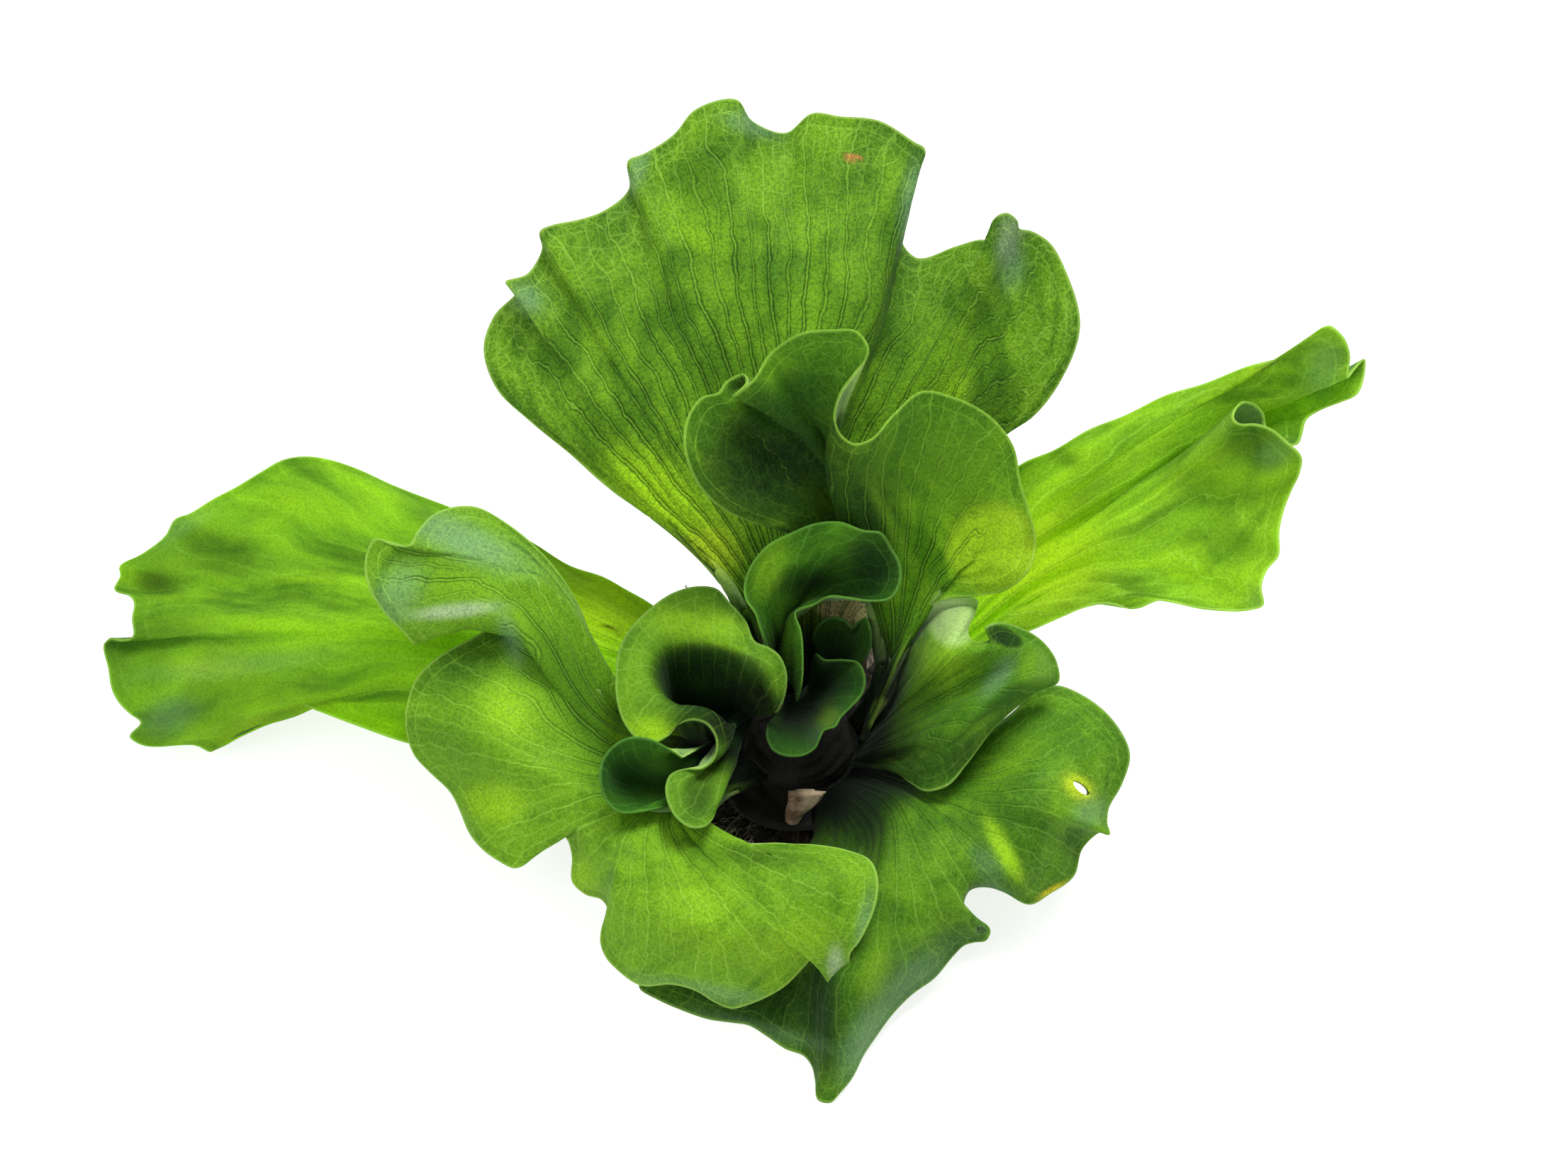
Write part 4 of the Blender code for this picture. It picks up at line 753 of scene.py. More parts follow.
def leaf_sheet(leaf, columns, rows):
    """The middle surface of a leaf, as rows of points from the foot to the margin."""
    outline = np.array([seen(*point) for point in leaf["margin"]])
    knots = knots_of(outline)
    dense = np.linspace(0, 1, MARGIN_STEPS)
    exact = smooth_curve(knots, outline, dense)
    lines = [exact, *(softened(exact, width * len(dense), 0) for width in (RUFFLE_WIDTH, FOLD_WIDTH))]
    busy = 1 + FRILL_CROWD * ease(np.linalg.norm(exact - lines[1], axis=1), *FRILLED)
    travel = np.cumsum(softened(busy[:, None], CROWD_BLUR, 0)[:, 0])
    across = np.interp(np.linspace(travel[0], travel[-1], columns), travel, dense)
    frilled, ruffled, broad = (
        np.stack([np.interp(across, dense, column) for column in line.T], axis=1) for line in lines
    )
    foot = foot_row(leaf["foot"], columns)
    rib_rows = [rib_row(leaf, knots, station, foot, broad, across) for station in (1, 2)]
    net = np.stack((foot, *rib_rows, broad)).reshape(len(STATIONS), -1)
    up = 1 - (1 - np.linspace(0, 1, rows)) ** ROW_CROWD
    sheet = smooth_curve(STATIONS, net, up).reshape(rows, columns, 3)
    fade = leaf.get("ruffle_fade", RUFFLE_FADE)
    sheet = faded(sheet, up, ruffled - broad, fade, fade, RUFFLE_BLUR)
    return up, faded(sheet, up, frilled - ruffled, FRILL_FADE, TIP_FADE, FRILL_BLUR)


def sheet_normals(sheet):
    along, outwards = np.gradient(sheet, axis=1), np.gradient(sheet, axis=0)
    normals = unit(np.cross(along, outwards) + 1e-12)
    return unit(softened(softened(normals, NORMAL_BLUR, 0), NORMAL_BLUR, 1))


def ripple(across, along, seed):
    """Smooth waves between -1 and 1 over two coordinates, one unit apart."""
    lattice = np.random.default_rng(seed).uniform(-1, 1, RIPPLE_LATTICE)
    across, along = np.broadcast_arrays(across, along)
    left, low = np.floor(across).astype(int), np.floor(along).astype(int)
    x, y = ease(across - left, 0, 1), ease(along - low, 0, 1)

    def corner(right, high):
        return lattice[(left + right) % lattice.shape[0], (low + high) % lattice.shape[1]]

    near = corner(0, 0) * (1 - x) + corner(1, 0) * x
    far = corner(0, 1) * (1 - x) + corner(1, 1) * x
    return near * (1 - y) + far * y


def waves(kinds, across, along, seed):
    """The sum of several ripples, each (length across, length along, height)."""
    return sum(
        height * ripple(across / width, along / length, seed + SEEDS["octave"] * number)
        for number, (width, length, height) in enumerate(kinds)
    )


# Veins. These functions take numpy arrays for the mesh or node values for the skin, so that the
# furrows and their colours follow the same lines.


class Field:
    """A number, vector or colour that a skin's nodes work out at each point."""

    def __init__(self, skin, socket):
        self.skin = skin
        self.socket = socket

    def __add__(self, other):
        return self.skin.math("ADD", self, other)

    def __sub__(self, other):
        return self.skin.math("SUBTRACT", self, other)

    def __rsub__(self, other):
        return self.skin.math("SUBTRACT", other, self)

    def __mul__(self, other):
        return self.skin.math("MULTIPLY", self, other)

    def __abs__(self):
        return self.skin.math("ABSOLUTE", self)

    __radd__ = __add__
    __rmul__ = __mul__


def ease(value, start, end):
    """0 to 1 as the value goes smoothly from start to end."""
    if isinstance(value, Field):
        return value.skin.ease(value, start, end)
    share = np.clip((value - start) / (end - start), 0, 1)
    return share * share * (3 - 2 * share)


def highest(first, second):
    if isinstance(first, Field):
        return first.skin.math("MAXIMUM", first, second)
    return np.maximum(first, second)


def from_vein(lane, offset, gap):
    """Distance in mm to the nearest vein that lies at an offset in its lane."""
    place = lane - offset
    if isinstance(place, Field):
        return abs(place.skin.math("WRAP", place, 0.5, -0.5)) * gap
    return np.abs((place + 0.5) % 1 - 0.5) * gap


def veins(gap):
    """(offset, strength) of the veins in a lane: new ones leave the old where the lane is wide enough."""
    first, second, third = (ease(gap, *widths) for widths in VEIN_STARTS)
    return (
        (0.0, first),
        (0.5 * second, second * 0.75),
        (0.25 * third, third * 0.5),
        (0.5 * second + 0.25 * third, third * 0.5),
    )


def vein_lines(lane, gap, width, soft):
    """1 on a vein, falling to 0 at soft mm beyond its half width."""
    lines = None
    for offset, strength in veins(gap):
        line = strength * (1.0 - ease(from_vein(lane, offset, gap), width, width + soft))
        lines = line if lines is None else highest(lines, line)
    return lines


# Blades


def survey(sheet, up, lane_width, seed):
    """What the relief and the skin need to know at each point of a leaf's sheet."""
    columns = sheet.shape[1]
    along, outwards = np.gradient(sheet, axis=1), np.gradient(sheet, axis=0)
    step = np.linalg.norm(outwards, axis=2)
    direction = outwards / step[:, :, None]
    sideways = along - (along * direction).sum(2)[:, :, None] * direction
    lateral = np.linalg.norm(sideways, axis=2)
    slant = softened(lateral[-1] / np.linalg.norm(along[-1], axis=1), SLANT_BLUR, 0)
    width, length = np.cumsum(lateral, axis=1), np.cumsum(step, axis=0)
    spacing = softened(lateral[np.searchsorted(up, LANE_ROW)], LANE_BLUR * columns, 0)
    lanes = np.cumsum(spacing) / lane_width
    across = width - width[:, columns // 2][:, None]
    lane = lanes + waves(KINKS, across, length, seed)
    gap = softened(softened(lateral, GAP_BLUR, 0), GAP_BLUR - 1, 1) / np.gradient(lanes)
    rim = np.minimum((length[-1] - length) * slant, np.minimum(width, width[:, -1:] - width))
    up = np.broadcast_to(up[:, None], gap.shape)
    return {"across": across, "length": length, "lane": lane, "gap": gap, "rim": rim, "up": up}


def turned(across, down, oval):
    """How far out pixels lie from an oval's middle, 1 being its edge."""
    centre_across, centre_down, half_width, half_height, turn = oval
    x, y = across - centre_across, down - centre_down
    tilt = radians(turn)
    along = (x * cos(tilt) + y * sin(tilt)) / half_width
    aside = (y * cos(tilt) - x * sin(tilt)) / half_height
    return np.hypot(along, aside)


def painted(points, facing, marks, edge=MARK_EDGE):
    """The leaf's marks as red, green, blue and cover, on the points that face the view."""
    across, down = pixels_of(points)
    toward = unit(EYE - points)
    shown = ease((facing * toward).sum(-1), *FACING)
    colour = np.zeros((*points.shape[:-1], 3))
    cover = np.zeros(points.shape[:-1])
    for *oval, mark, strength in marks:
        share = strength * shown * np.exp(-(turned(across, down, oval) ** edge))
        left = cover * (1 - share)
        total = share + left + 1e-9
        colour = (colour * left[..., None] + share[..., None] * np.array(mark[:3])) / total[..., None]
        cover = share + left
    return np.concatenate((colour, cover[..., None]), axis=-1)


def relief(at, finish, seed, under):
    """How far a side of the blade stands proud of its plain surface."""
    lines = vein_lines(at["lane"], at["gap"], *VEIN_LINE)
    edge = ease(at["rim"], *RELIEF_RIM)
    share, low, high = VEIN_FADE
    fade = 1 - share * ease(at["up"], low, high)
    ribs = finish["ribs"] * np.cos(2 * pi * at["lane"]) * ease(at["gap"], *RIB_START) * fade
    if under:
        return edge * (UNDER_VEIN_HEIGHT * lines * fade - ribs)
    wide, long, swell = PLUMPNESS
    plump = ripple(at["across"] / wide, at["length"] / long, seed + SEEDS["plump"]) * swell
    return edge * (plump + ribs - finish["sunk"] * lines * fade)


def read_at(field, rows, columns):
    """A field of the sheet read between its points."""
    row = np.clip(rows.astype(int), 0, field.shape[0] - 2)
    column = np.clip(columns.astype(int), 0, field.shape[1] - 2)
    shape = row.shape + (1,) * (field.ndim - 2)
    x, y = (rows - row).reshape(shape), (columns - column).reshape(shape)
    near = field[row, column] * (1 - y) + field[row, column + 1] * y
    far = field[row + 1, column] * (1 - y) + field[row + 1, column + 1] * y
    return near * (1 - x) + far * x


def drawn_in(sheet, oval):
    """Where to read the sheet so that its points crowd round an oval of the view."""
    out = turned(*pixels_of(sheet), oval)
    rows, columns = np.indices(out.shape).astype(float)
    weights = np.exp(-((out / 2) ** 2))
    middle_row, middle_column = ((places * weights).sum() / weights.sum() for places in (rows, columns))
    beyond = out - (HOLE_ROOM - 1) * (1 - ease(out, HOLE_ROOM, HOLE_REACH))
    aim = np.where(out < HOLE_ROOM, out / HOLE_ROOM, beyond)
    share = 1 - (1 - aim / np.maximum(out, 1e-6)) * ease(len(out) - 1 - rows, 0, HOLE_CLEAR)
    return middle_row + (rows - middle_row) * share, middle_column + (columns - middle_column) * share


def touched(cells):
    """The points at the corners of the cells."""
    points = np.zeros((cells.shape[0] + 1, cells.shape[1] + 1), bool)
    for row in (0, 1):
        for column in (0, 1):
            points[row : row + cells.shape[0], column : column + cells.shape[1]] |= cells
    return points


def cut_hole(sheet, oval):
    """Moves the points next to an oval of the view on to its edge. Returns the cells inside it."""
    out = turned(*pixels_of(sheet), oval)
    inside = out < HOLE_GRIP
    gone = inside[:-1, :-1] & inside[1:, :-1] & inside[:-1, 1:] & inside[1:, 1:]
    edge = touched(gone) & touched(~gone)
    centre = sheet[np.unravel_index(out.argmin(), out.shape)]
    sheet[edge] = centre + (sheet[edge] - centre) / out[edge][:, None]
    return gone


def blade_faces(rows, columns, gone):
    """Quads round a blade whose points run from its foot along the underside, over the rim and back.

    Also gives how many of them, the first, are the underside, and which points the faces use.
    """
    levels = 2 * rows + len(RIM_ANGLES)
    last = levels - 1
    held = np.ones((levels, columns), bool)
    held[:rows] = touched(~gone)
    held[levels - rows :] = held[:rows][::-1]
    index = (np.cumsum(held) - 1).reshape(levels, columns)
    quads = np.stack((index[:-1, :-1], index[1:, :-1], index[1:, 1:], index[:-1, 1:]), axis=2)
    kept = np.ones((last, columns - 1), bool)
    kept[: rows - 1] = ~gone
    kept[levels - rows :] = ~gone[::-1]
    faces = quads[kept].tolist()
    for row in range(rows - 1):
        faces.append((index[row + 1, 0], index[row, 0], index[last - row, 0], index[last - row - 1, 0]))
        faces.append((index[row, -1], index[row + 1, -1], index[last - row - 1, -1], index[last - row, -1]))
    rim = index[rows - 1 : rows + len(RIM_ANGLES) + 1]
    faces += [tuple(rim[::-1, 0]), tuple(rim[:, -1])]
    for column in range(columns - 1):
        faces.append((index[0, column], index[0, column + 1], index[last, column + 1], index[last, column]))
    for row, column in np.argwhere(gone):
        corners = ((row, column), (row + 1, column), (row + 1, column + 1), (row, column + 1))
        beside = ((row, column - 1), (row + 1, column), (row, column + 1), (row - 1, column))
        for (start, end), cell in zip(zip(corners, corners[1:] + corners[:1]), beside):
            if not gone[cell]:
                over = (index[last - end[0], end[1]], index[last - start[0], start[1]])
                faces.append((index[start], index[end], *over))
    return faces, kept[: rows - 1].sum(), held


def around(below, above=None, rim=None):
    """Rows from the foot along the underside, over the rim and back along the top.

    The top is like the underside, and the rim like the top's last row, unless they are given.
    """
    above = below if above is None else above
    rim = np.repeat(above[-1:], len(RIM_ANGLES), axis=0) if rim is None else rim
    return np.concatenate((below, rim, above[::-1]))


def uneven_sheet(name, finish, seed):
    """A leaf's middle surface with its unevenness and its hole: points, normals, survey and missing cells."""
    columns, rows = finish["grid"]
    up, sheet = leaf_sheet(LEAVES[name], columns, rows)
    at = survey(sheet, up, finish["lane"], seed)
    calm = ease(at["up"], *WAVES_UP) * ease(at["rim"], *WAVES_RIM)
    swell = waves(WAVES, at["across"], at["length"], seed + SEEDS["waves"]) * calm
    sheet = sheet + sheet_normals(sheet) * swell[:, :, None]
    normals = sheet_normals(sheet)
    if "hole" not in finish:
        return sheet, normals, at, np.zeros((rows - 1, columns - 1), bool)
    places = drawn_in(sheet, finish["hole"])
    at = {key: read_at(field, *places) for key, field in at.items()}
    normals = unit(read_at(normals, *places))
    sheet = read_at(sheet, *places)
    gone = cut_hole(sheet, finish["hole"])
    return sheet, normals, at, gone


def blade_points(name, finish, seed, sheet, normals, at):
    """The blade round its middle surface. Returns that surface too, drawn in to make room for the rim."""
    base = INNER_BASE_THICKNESS if "inner" in name else BASE_THICKNESS
    margin = MARGIN_THICKNESS
    if name.startswith("heart"):
        base = margin = HEART_THICKNESS
    half = (base + (margin - base) * ease(at["up"], 0, 1)) / 2
    half = half * (RIM_SHARE + (1 - RIM_SHARE) * ease(at["rim"], 0, RIM_TAPER))
    radius = RIM_SHARE * margin / 2
    outward = unit(sheet[-1] - sheet[-3])
    sheet = sheet - outward * (radius * (1 - ease(at["rim"], 0, 3)))[:, :, None]
    above = sheet + normals * (half + relief(at, finish, seed, False))[:, :, None]
    below = sheet - normals * (half + relief(at, finish, seed, True))[:, :, None]
    rim = [
        sheet[-1] + radius * (normals[-1] * sin(radians(angle)) + outward * cos(radians(angle)))
        for angle in RIM_ANGLES
    ]
    return sheet, around(below, above, np.array(rim))


def skin_fields(finish, sheet, normals, at, points):
    """What the skins read at each point of the blade."""
    columns, rows = finish["grid"]
    broad, long, height = RIDGE
    bend = sheet - softened(softened(sheet, broad * columns, 1), long * rows, 0)
    glow, reach = finish["glow"]
    shade, low, high = finish["shade"]
    # ridge leads to painted shade in hollows, glow to a painted glow at the base, shade to painted shade at
    # the base
    values = {
        **at,
        "ridge": np.clip((bend * normals).sum(2) / height, -1, 1),
        "glow": glow * (1 - ease(at["up"], 0.3 * reach, reach)),
        "shade": shade * (1 - ease(at["up"], low, high)),
    }
    values = {key: around(value) for key, value in values.items()}
    facing = around(-normals, normals)
    mark = painted(points, facing, finish["marks"])
    patch = painted(points, facing, finish["patches"], PATCH_EDGE)
    over = patch[..., 3:]
    colour = mark[..., :3] * (1 - over) + patch[..., :3] * over
    cover = 1 - (1 - mark[..., 3:]) * (1 - over)
    # painted shade of the crown, near its middle and low down, left off under the patches
    from_axis = np.hypot(points[..., 0], points[..., 1])
    well = ease(from_axis, *SHADED_CROWN["reach"]) * ease(points[..., 2], *SHADED_CROWN["height"])
    values["well"] = well * (1 - over[..., 0])
    values["corded"] = painted(points, facing, [(*oval, BLACK_SHADE_AND_CRACK, 1.0) for oval in finish["corded"]])[..., 3]
    fields = {"mark": np.concatenate((colour, cover), axis=-1)}
    for field, keys in FIELDS.items():
        fields[field] = np.zeros(points.shape)
        for place, key in enumerate(keys):
            fields[field][..., place] = values[key]
    return fields


def blade(name, number):
    """A leaf as a closed blade with its relief, its rounded rim and what its skins read."""
    finish = {**PLAIN_FINISH, **FINISH[name]}
    columns, rows = finish["grid"]
    seed = SEEDS["leaf"] * number
    sheet, normals, at, gone = uneven_sheet(name, finish, seed)
    sheet, points = blade_points(name, finish, seed, sheet, normals, at)
    fields = skin_fields(finish, sheet, normals, at, points)
    faces, under_count, held = blade_faces(rows, columns, gone)
    skins = (leaf_skin(name + "_top", finish, number), underside_skin(name + "_under", finish, number))
    fields = {field: values[held] for field, values in fields.items()}
    make_piece(name + "_blade", name, points[held], faces, skins, np.arange(len(faces)) < under_count, fields)


def make_piece(name, node, points, faces, skins, second=None, fields=None):
    """A visible piece that stands for a node.

    second says which faces have the second skin, and fields holds what the skins read at the points.
    """
    mesh = bpy.data.meshes.new(name)
    mesh.from_pydata((points * METRES).tolist(), [], faces)
    mesh.shade_smooth()
    for field, values in (fields or {}).items():
        kind, part = ("FLOAT_COLOR", "color") if values.shape[-1] == 4 else ("FLOAT_VECTOR", "vector")
        made = mesh.attributes.new(field, kind, "POINT")
        made.data.foreach_set(part, values.astype(np.float32).ravel())
    for skin in skins:
        mesh.materials.append(skin)
    if second is not None:
        mesh.polygons.foreach_set("material_index", second.astype(np.int32))
    piece = bpy.data.objects.new(name, mesh)
    bpy.context.scene.collection.objects.link(piece)
    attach(piece, "root")
    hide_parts(node)


# Skins


class Skin:
    """A material under construction."""

    def __init__(self, name):
        self.material = bpy.data.materials.new(name)
        self.material.use_nodes = True
        self.tree = self.material.node_tree
        self.shader = self.tree.nodes["Principled BSDF"]

    def feed(self, socket, value):
        if isinstance(value, Field):
            self.tree.links.new(value.socket, socket)
        else:
            socket.default_value = value

    def node(self, kind, inputs, output=0, **settings):
        """Adds a node, feeds its inputs and gives back one of its outputs."""
        made = self.tree.nodes.new(kind)
        for setting, value in settings.items():
            setattr(made, setting, value)
        for key, value in inputs.items():
            self.feed(made.inputs[key], value)
        return Field(self, made.outputs[output])

    def math(self, operation, *values):
        return self.node("ShaderNodeMath", dict(enumerate(values)), operation=operation)

    def ease(self, value, start, end):
        ends = {"Value": value, "From Min": start, "From Max": end}
        return self.node("ShaderNodeMapRange", ends, interpolation_type="SMOOTHSTEP")

    def stored(self, name, output):
        return self.node("ShaderNodeAttribute", {}, output, attribute_name=name)

    def blade_fields(self):
        """The fields kept in a blade's mesh, and the colour and cover of its marks."""
        at = {"mark": self.stored("mark", 0), "cover": self.stored("mark", 3)}
        for name, keys in FIELDS.items():
            split = self.tree.nodes.new("ShaderNodeSeparateXYZ")
            self.feed(split.inputs[0], self.stored(name, 1))
            at.update((key, Field(self, output)) for key, output in zip(keys, split.outputs))
        return SimpleNamespace(**at)

    def spot(self):
        """The place in space, in metres."""
        return self.node("ShaderNodeTexCoord", {}, output=3)

    def vector(self, x, y, z):
        return self.node("ShaderNodeCombineXYZ", {0: x, 1: y, 2: z})

    def blend(self, share, first, second, **settings):
        inputs = {0: share, 6: first, 7: second}
        return self.node("ShaderNodeMix", inputs, output=2, data_type="RGBA", **settings)

    def layered(self, ground, *layers):
        """The ground under layers, each (share, colour)."""
        for share, colour in layers:
            ground = self.blend(share, ground, colour)
        return ground

    def tinted(self, colour, tint):
        """The colour times a tint of red, green and blue."""
        tint = (*tint, 1.0)
        if isinstance(colour, Field):
            return self.blend(1.0, colour, tint, blend_type="MULTIPLY")
        return tuple(float(share) for share in np.multiply(colour, tint))

    def noise(self, place, scale, detail, output=0):
        return self.node("ShaderNodeTexNoise", {"Vector": place, "Scale": scale, "Detail": detail}, output)

    def cells(self, place, scale, feature="DISTANCE_TO_EDGE"):
        return self.node("ShaderNodeTexVoronoi", {"Vector": place, "Scale": scale}, feature=feature)

    def bump(self, height, depth, strength):
        ends = {"Height": height, "Distance": depth * METRES, "Strength": strength}
        self.feed(self.shader.inputs["Normal"], self.node("ShaderNodeBump", ends))

    def finish(self, colour, roughness, **plain):
        self.feed(self.shader.inputs["Base Color"], colour)
        self.feed(self.shader.inputs["Roughness"], roughness)
        for name, value in plain.items():
            self.shader.inputs[name.replace("_", " ")].default_value = value
        return self.material

    def let_light_through(self, colour, share):
        """Mixes in a share of light that passes through the leaf."""
        through = self.node("ShaderNodeBsdfTranslucent", {"Color": colour})
        whole = Field(self, self.shader.outputs[0])
        mixed = self.node("ShaderNodeMixShader", {0: share, 1: whole, 2: through})
        self.feed(self.tree.nodes["Material Output"].inputs["Surface"], mixed)


def leaf_skin(name, finish, number):
    """The upper skin: mottled green with painted light and shade, veins and their net, a pale rim, and marks
    that are mostly painted light, shade and sheen.
    """
    skin = Skin(name)
    at = skin.blade_fields()
    spot = skin.spot()
    place = skin.vector(at.across, at.length, TOP_SHIFT * number)
    drawn_out = skin.vector(at.across, at.length * finish["stretch"], TOP_SHIFT * number)
    along_lanes = skin.vector(at.lane * STREAK[0], at.length * STREAK[1], STREAK_SHIFT * number)
    broad = skin.noise(drawn_out, BROAD, 3.0)
    fine = skin.noise(place, FINE, 3.0)
    grain = skin.noise(spot, GRAIN, 2.0)
    wobble = skin.noise(place, WOBBLE, 2.0) - 0.5
    streak = skin.noise(along_lanes, 1.0, 3.0)
    pores = skin.cells(spot, PORES, "F1")
    drift_scale, distance = NET_DRIFT
    drift = skin.noise(spot, drift_scale, 1.0, output=1)
    ends = {0: drift, 1: (distance,) * 3, 2: spot}
    bent = skin.node("ShaderNodeVectorMath", ends, operation="MULTIPLY_ADD")

    # The veins: dark walls towards the base, pale beyond, and the net between them
    reach, dark, net = finish["reach"], finish["dark"], finish["net"]
    lane = at.lane + wobble * (0.24 - 0.2 * at.corded)
    core = vein_lines(lane, at.gap, *VEIN_CORE)
    walls = vein_lines(lane, at.gap, *VEIN_WALLS) - core
    inside = 1.0 - ease(at.up + (broad - 0.5) * 0.5, reach - 0.16, reach + 0.16)
    inside = highest(inside, at.corded)
    outside = (1.0 - inside) * (1.0 - 0.7 * at.cover) * finish["pale"]
    dark_veins = dark + at.corded * (0.9 - dark)
    wide_net = 1.0 - ease(skin.cells(bent, WIDE_NET), 0.012, 0.045)
    small_net = 1.0 - ease(skin.cells(bent, SMALL_NET), 0.03, 0.11)
    small_net = small_net * (0.35 * net) * (1.0 - inside * 0.6) * (1.0 - at.cover * 0.7)
    edge_vein = 1.0 - ease(abs(at.rim - 1.4 - wobble * 0.9), 0.04, 0.12)

    # The green ground: its streaks and blotches, blotches of painted light, the painted glow at its base and
    # painted shade in its hollows; then the marks on it, mostly painted light, shade and sheen
    lit = 0.45 * finish["lit"]
    band = 0.5 * skin.math("COSINE", lane * (2 * pi)) + 0.5
    glow = at.glow * (1.0 - finish["band"] * band)
    ground = skin.layered(
        MID,
        # blotches of painted light green
        (ease(broad + 0.25 * fine, 0.75 - lit, 0.98 - lit), LIT),
        (ease(streak, 0.42, 0.75) * finish["streak"], GLOW),
        (ease(streak, 0.52, 0.25) * finish["streak"], DEEP),
        (ease(fine, 0.55, 0.8) * finish["mottle"], GLOW),
        (ease(broad, 0.46, 0.30) * finish["mottle"], DEEP),
        # the painted glow of light through the leaf at its base
        (glow * (0.6 + 0.4 * ease(fine, 0.3, 0.6)), GLOW),
        # painted shade in the hollows of the blade
        (ease(at.ridge, -0.1, -0.9) * 0.3, DEEP),
    )
    ground = skin.tinted(ground, finish["tint"])
    # the marks: mostly painted light, shade and sheen, a few the leaf's own flecks
    ground = skin.blend(at.cover * (0.92 + 0.3 * (fine - 0.4)), ground, at.mark)

    # Its pores, then the veins, the rim, the painted shade at the base and the painted shade of the crown
    grit = finish["grit"]
    light = skin.tinted(ground, (1.7, 1.5, 1.3))
    dull = skin.tinted(ground, (0.36, 0.44, 0.5))
    ground = skin.layered(
        ground,
        (ease(pores, 0.42, 0.12) * (0.4 * grit), light),
        (ease(pores, 0.45, 0.75) * (0.55 * grit), dull),
        (ease(grain, 0.5, 0.3) * (0.35 * grit), dull),
    )
    pale = skin.blend(0.45, skin.tinted(ground, (1.6, 1.45, 1.7)), skin.tinted(VEIN, finish["tint"]))
    lined = skin.tinted(ground, (0.28, 0.36, 0.4))
    ground = skin.layered(
        ground,
        (small_net, pale),
        (wide_net * outside * net, pale),
        (wide_net * inside * dark * net * 0.4, lined),
        (walls * inside * dark_veins, lined),
        (core * (outside + 0.35 * inside * dark_veins), pale),
        (ease(at.rim, 1.5, 0.9) * 0.1, DEEP),
        (edge_vein * 0.6 * finish["pale"], pale),
        (ease(at.rim, 0.24, 0.08) * finish["rim"], skin.tinted(RIM, finish["tint"])),
        (at.shade, SHADE),
        # painted shade of the crown
        (at.well * 0.97, BLACK_SHADE_AND_CRACK),
    )

    height = ease(pores, 0.5, 0.0) * 0.35 - walls * inside * 1.0 + grain * 0.3 + core * outside * 0.5
    skin.bump(height, RELIEF_DEPTH, 0.7)
    skin.let_light_through(skin.tinted(ground, (1.25, 1.2, 0.5)), finish["through"])
    return skin.finish(
        ground, 0.5 + 0.3 * fine, Specular_IOR_Level=0.1, Sheen_Weight=0.04, Sheen_Roughness=0.5,
        Sheen_Tint=(0.75, 0.9, 0.82, 1.0),
    )


def underside_skin(name, finish, number):
    """The lower skin: pale and felted, with raised veins."""
    skin = Skin(name)
    at = skin.blade_fields()
    spot = skin.spot()
    place = skin.vector(at.across, at.length, UNDER_SHIFT * number)
    broad = skin.noise(place, UNDER_BROAD, 3.0)
    fine = skin.noise(place, UNDER_FINE, 3.0)
    felt = skin.noise(spot, FELT_GRAIN, 4.0)
    net = 1.0 - ease(skin.cells(spot, UNDER_NET), 0.03, 0.12)
    lines = vein_lines(at.lane, at.gap, *UNDER_VEIN)
    ground = skin.layered(
        UNDER_DEEP,
        (ease(broad, 0.35, 0.65), UNDER),
        # painted glow of light through the leaf at its base
        (at.glow * 0.6, GLOW),
        (lines * 0.45, VEIN),
        (net * 0.2, UNDER_DEEP),
        (ease(felt, 0.45, 0.7) * 0.25, SILVER),
        # the marks: mostly painted light, shade and sheen
        (at.cover * 0.8, at.mark),
        (ease(at.rim, 0.30, 0.12) * 0.8, RIM),
        # painted shade of the crown
        (at.well * 0.97, BLACK_SHADE_AND_CRACK),
    )
    skin.bump(lines * 0.4 + felt * 0.7 + fine * 0.3, RELIEF_DEPTH, 0.8)
    skin.let_light_through(skin.tinted(ground, (1.2, 1.2, 0.5)), finish["through"])
    return skin.finish(
        ground, 0.55 + 0.3 * felt, Specular_IOR_Level=0.15, Sheen_Weight=0.12, Sheen_Roughness=0.6,
        Sheen_Tint=(0.85, 0.95, 0.9, 1.0),
    )


def plain_skin(name, dark, light, scale, rough, depth):
    """A mottled, rough skin for the solids that aren't leaves."""
    skin = Skin(name)
    mottle = skin.noise(skin.spot(), scale, 5.0)
    speck = skin.noise(skin.spot(), scale * 5.0, 2.0)
    ground = skin.layered(dark, (ease(mottle, 0.35, 0.65), light), (ease(speck, 0.55, 0.75) * 0.4, light))
    skin.bump(mottle + 0.5 * speck, depth, 0.8)
    return skin.finish(ground, rough - 0.1 + 0.2 * speck, Specular_IOR_Level=0.25)


# Roots, stem and stub


def tubes(paths, radii, sides):
    """Closed tubes along lines of points: paths is (tube, point, 3), radii goes with it."""
    count, steps = paths.shape[:2]
    tangents = unit(np.gradient(paths, axis=1))
    aside = unit(np.cross(tangents, (0.0, 0.0, 1.0)) + 1e-9)
    above = np.cross(aside, tangents)
    turns = np.linspace(0, 2 * pi, sides, endpoint=False)
    ring = np.cos(turns)[:, None] * aside[:, :, None] + np.sin(turns)[:, None] * above[:, :, None]
    points = paths[:, :, None] + radii[:, :, None, None] * ring
    index = np.arange(count * steps * sides).reshape(count, steps, sides)
    after = np.roll(index, -1, axis=2)
    quads = np.stack((index[:, :-1], index[:, 1:], after[:, 1:], after[:, :-1]), axis=-1)
    faces = quads.reshape(-1, 4).tolist() + index[:, 0].tolist() + index[:, -1, ::-1].tolist()
    return points.reshape(-1, 3), faces


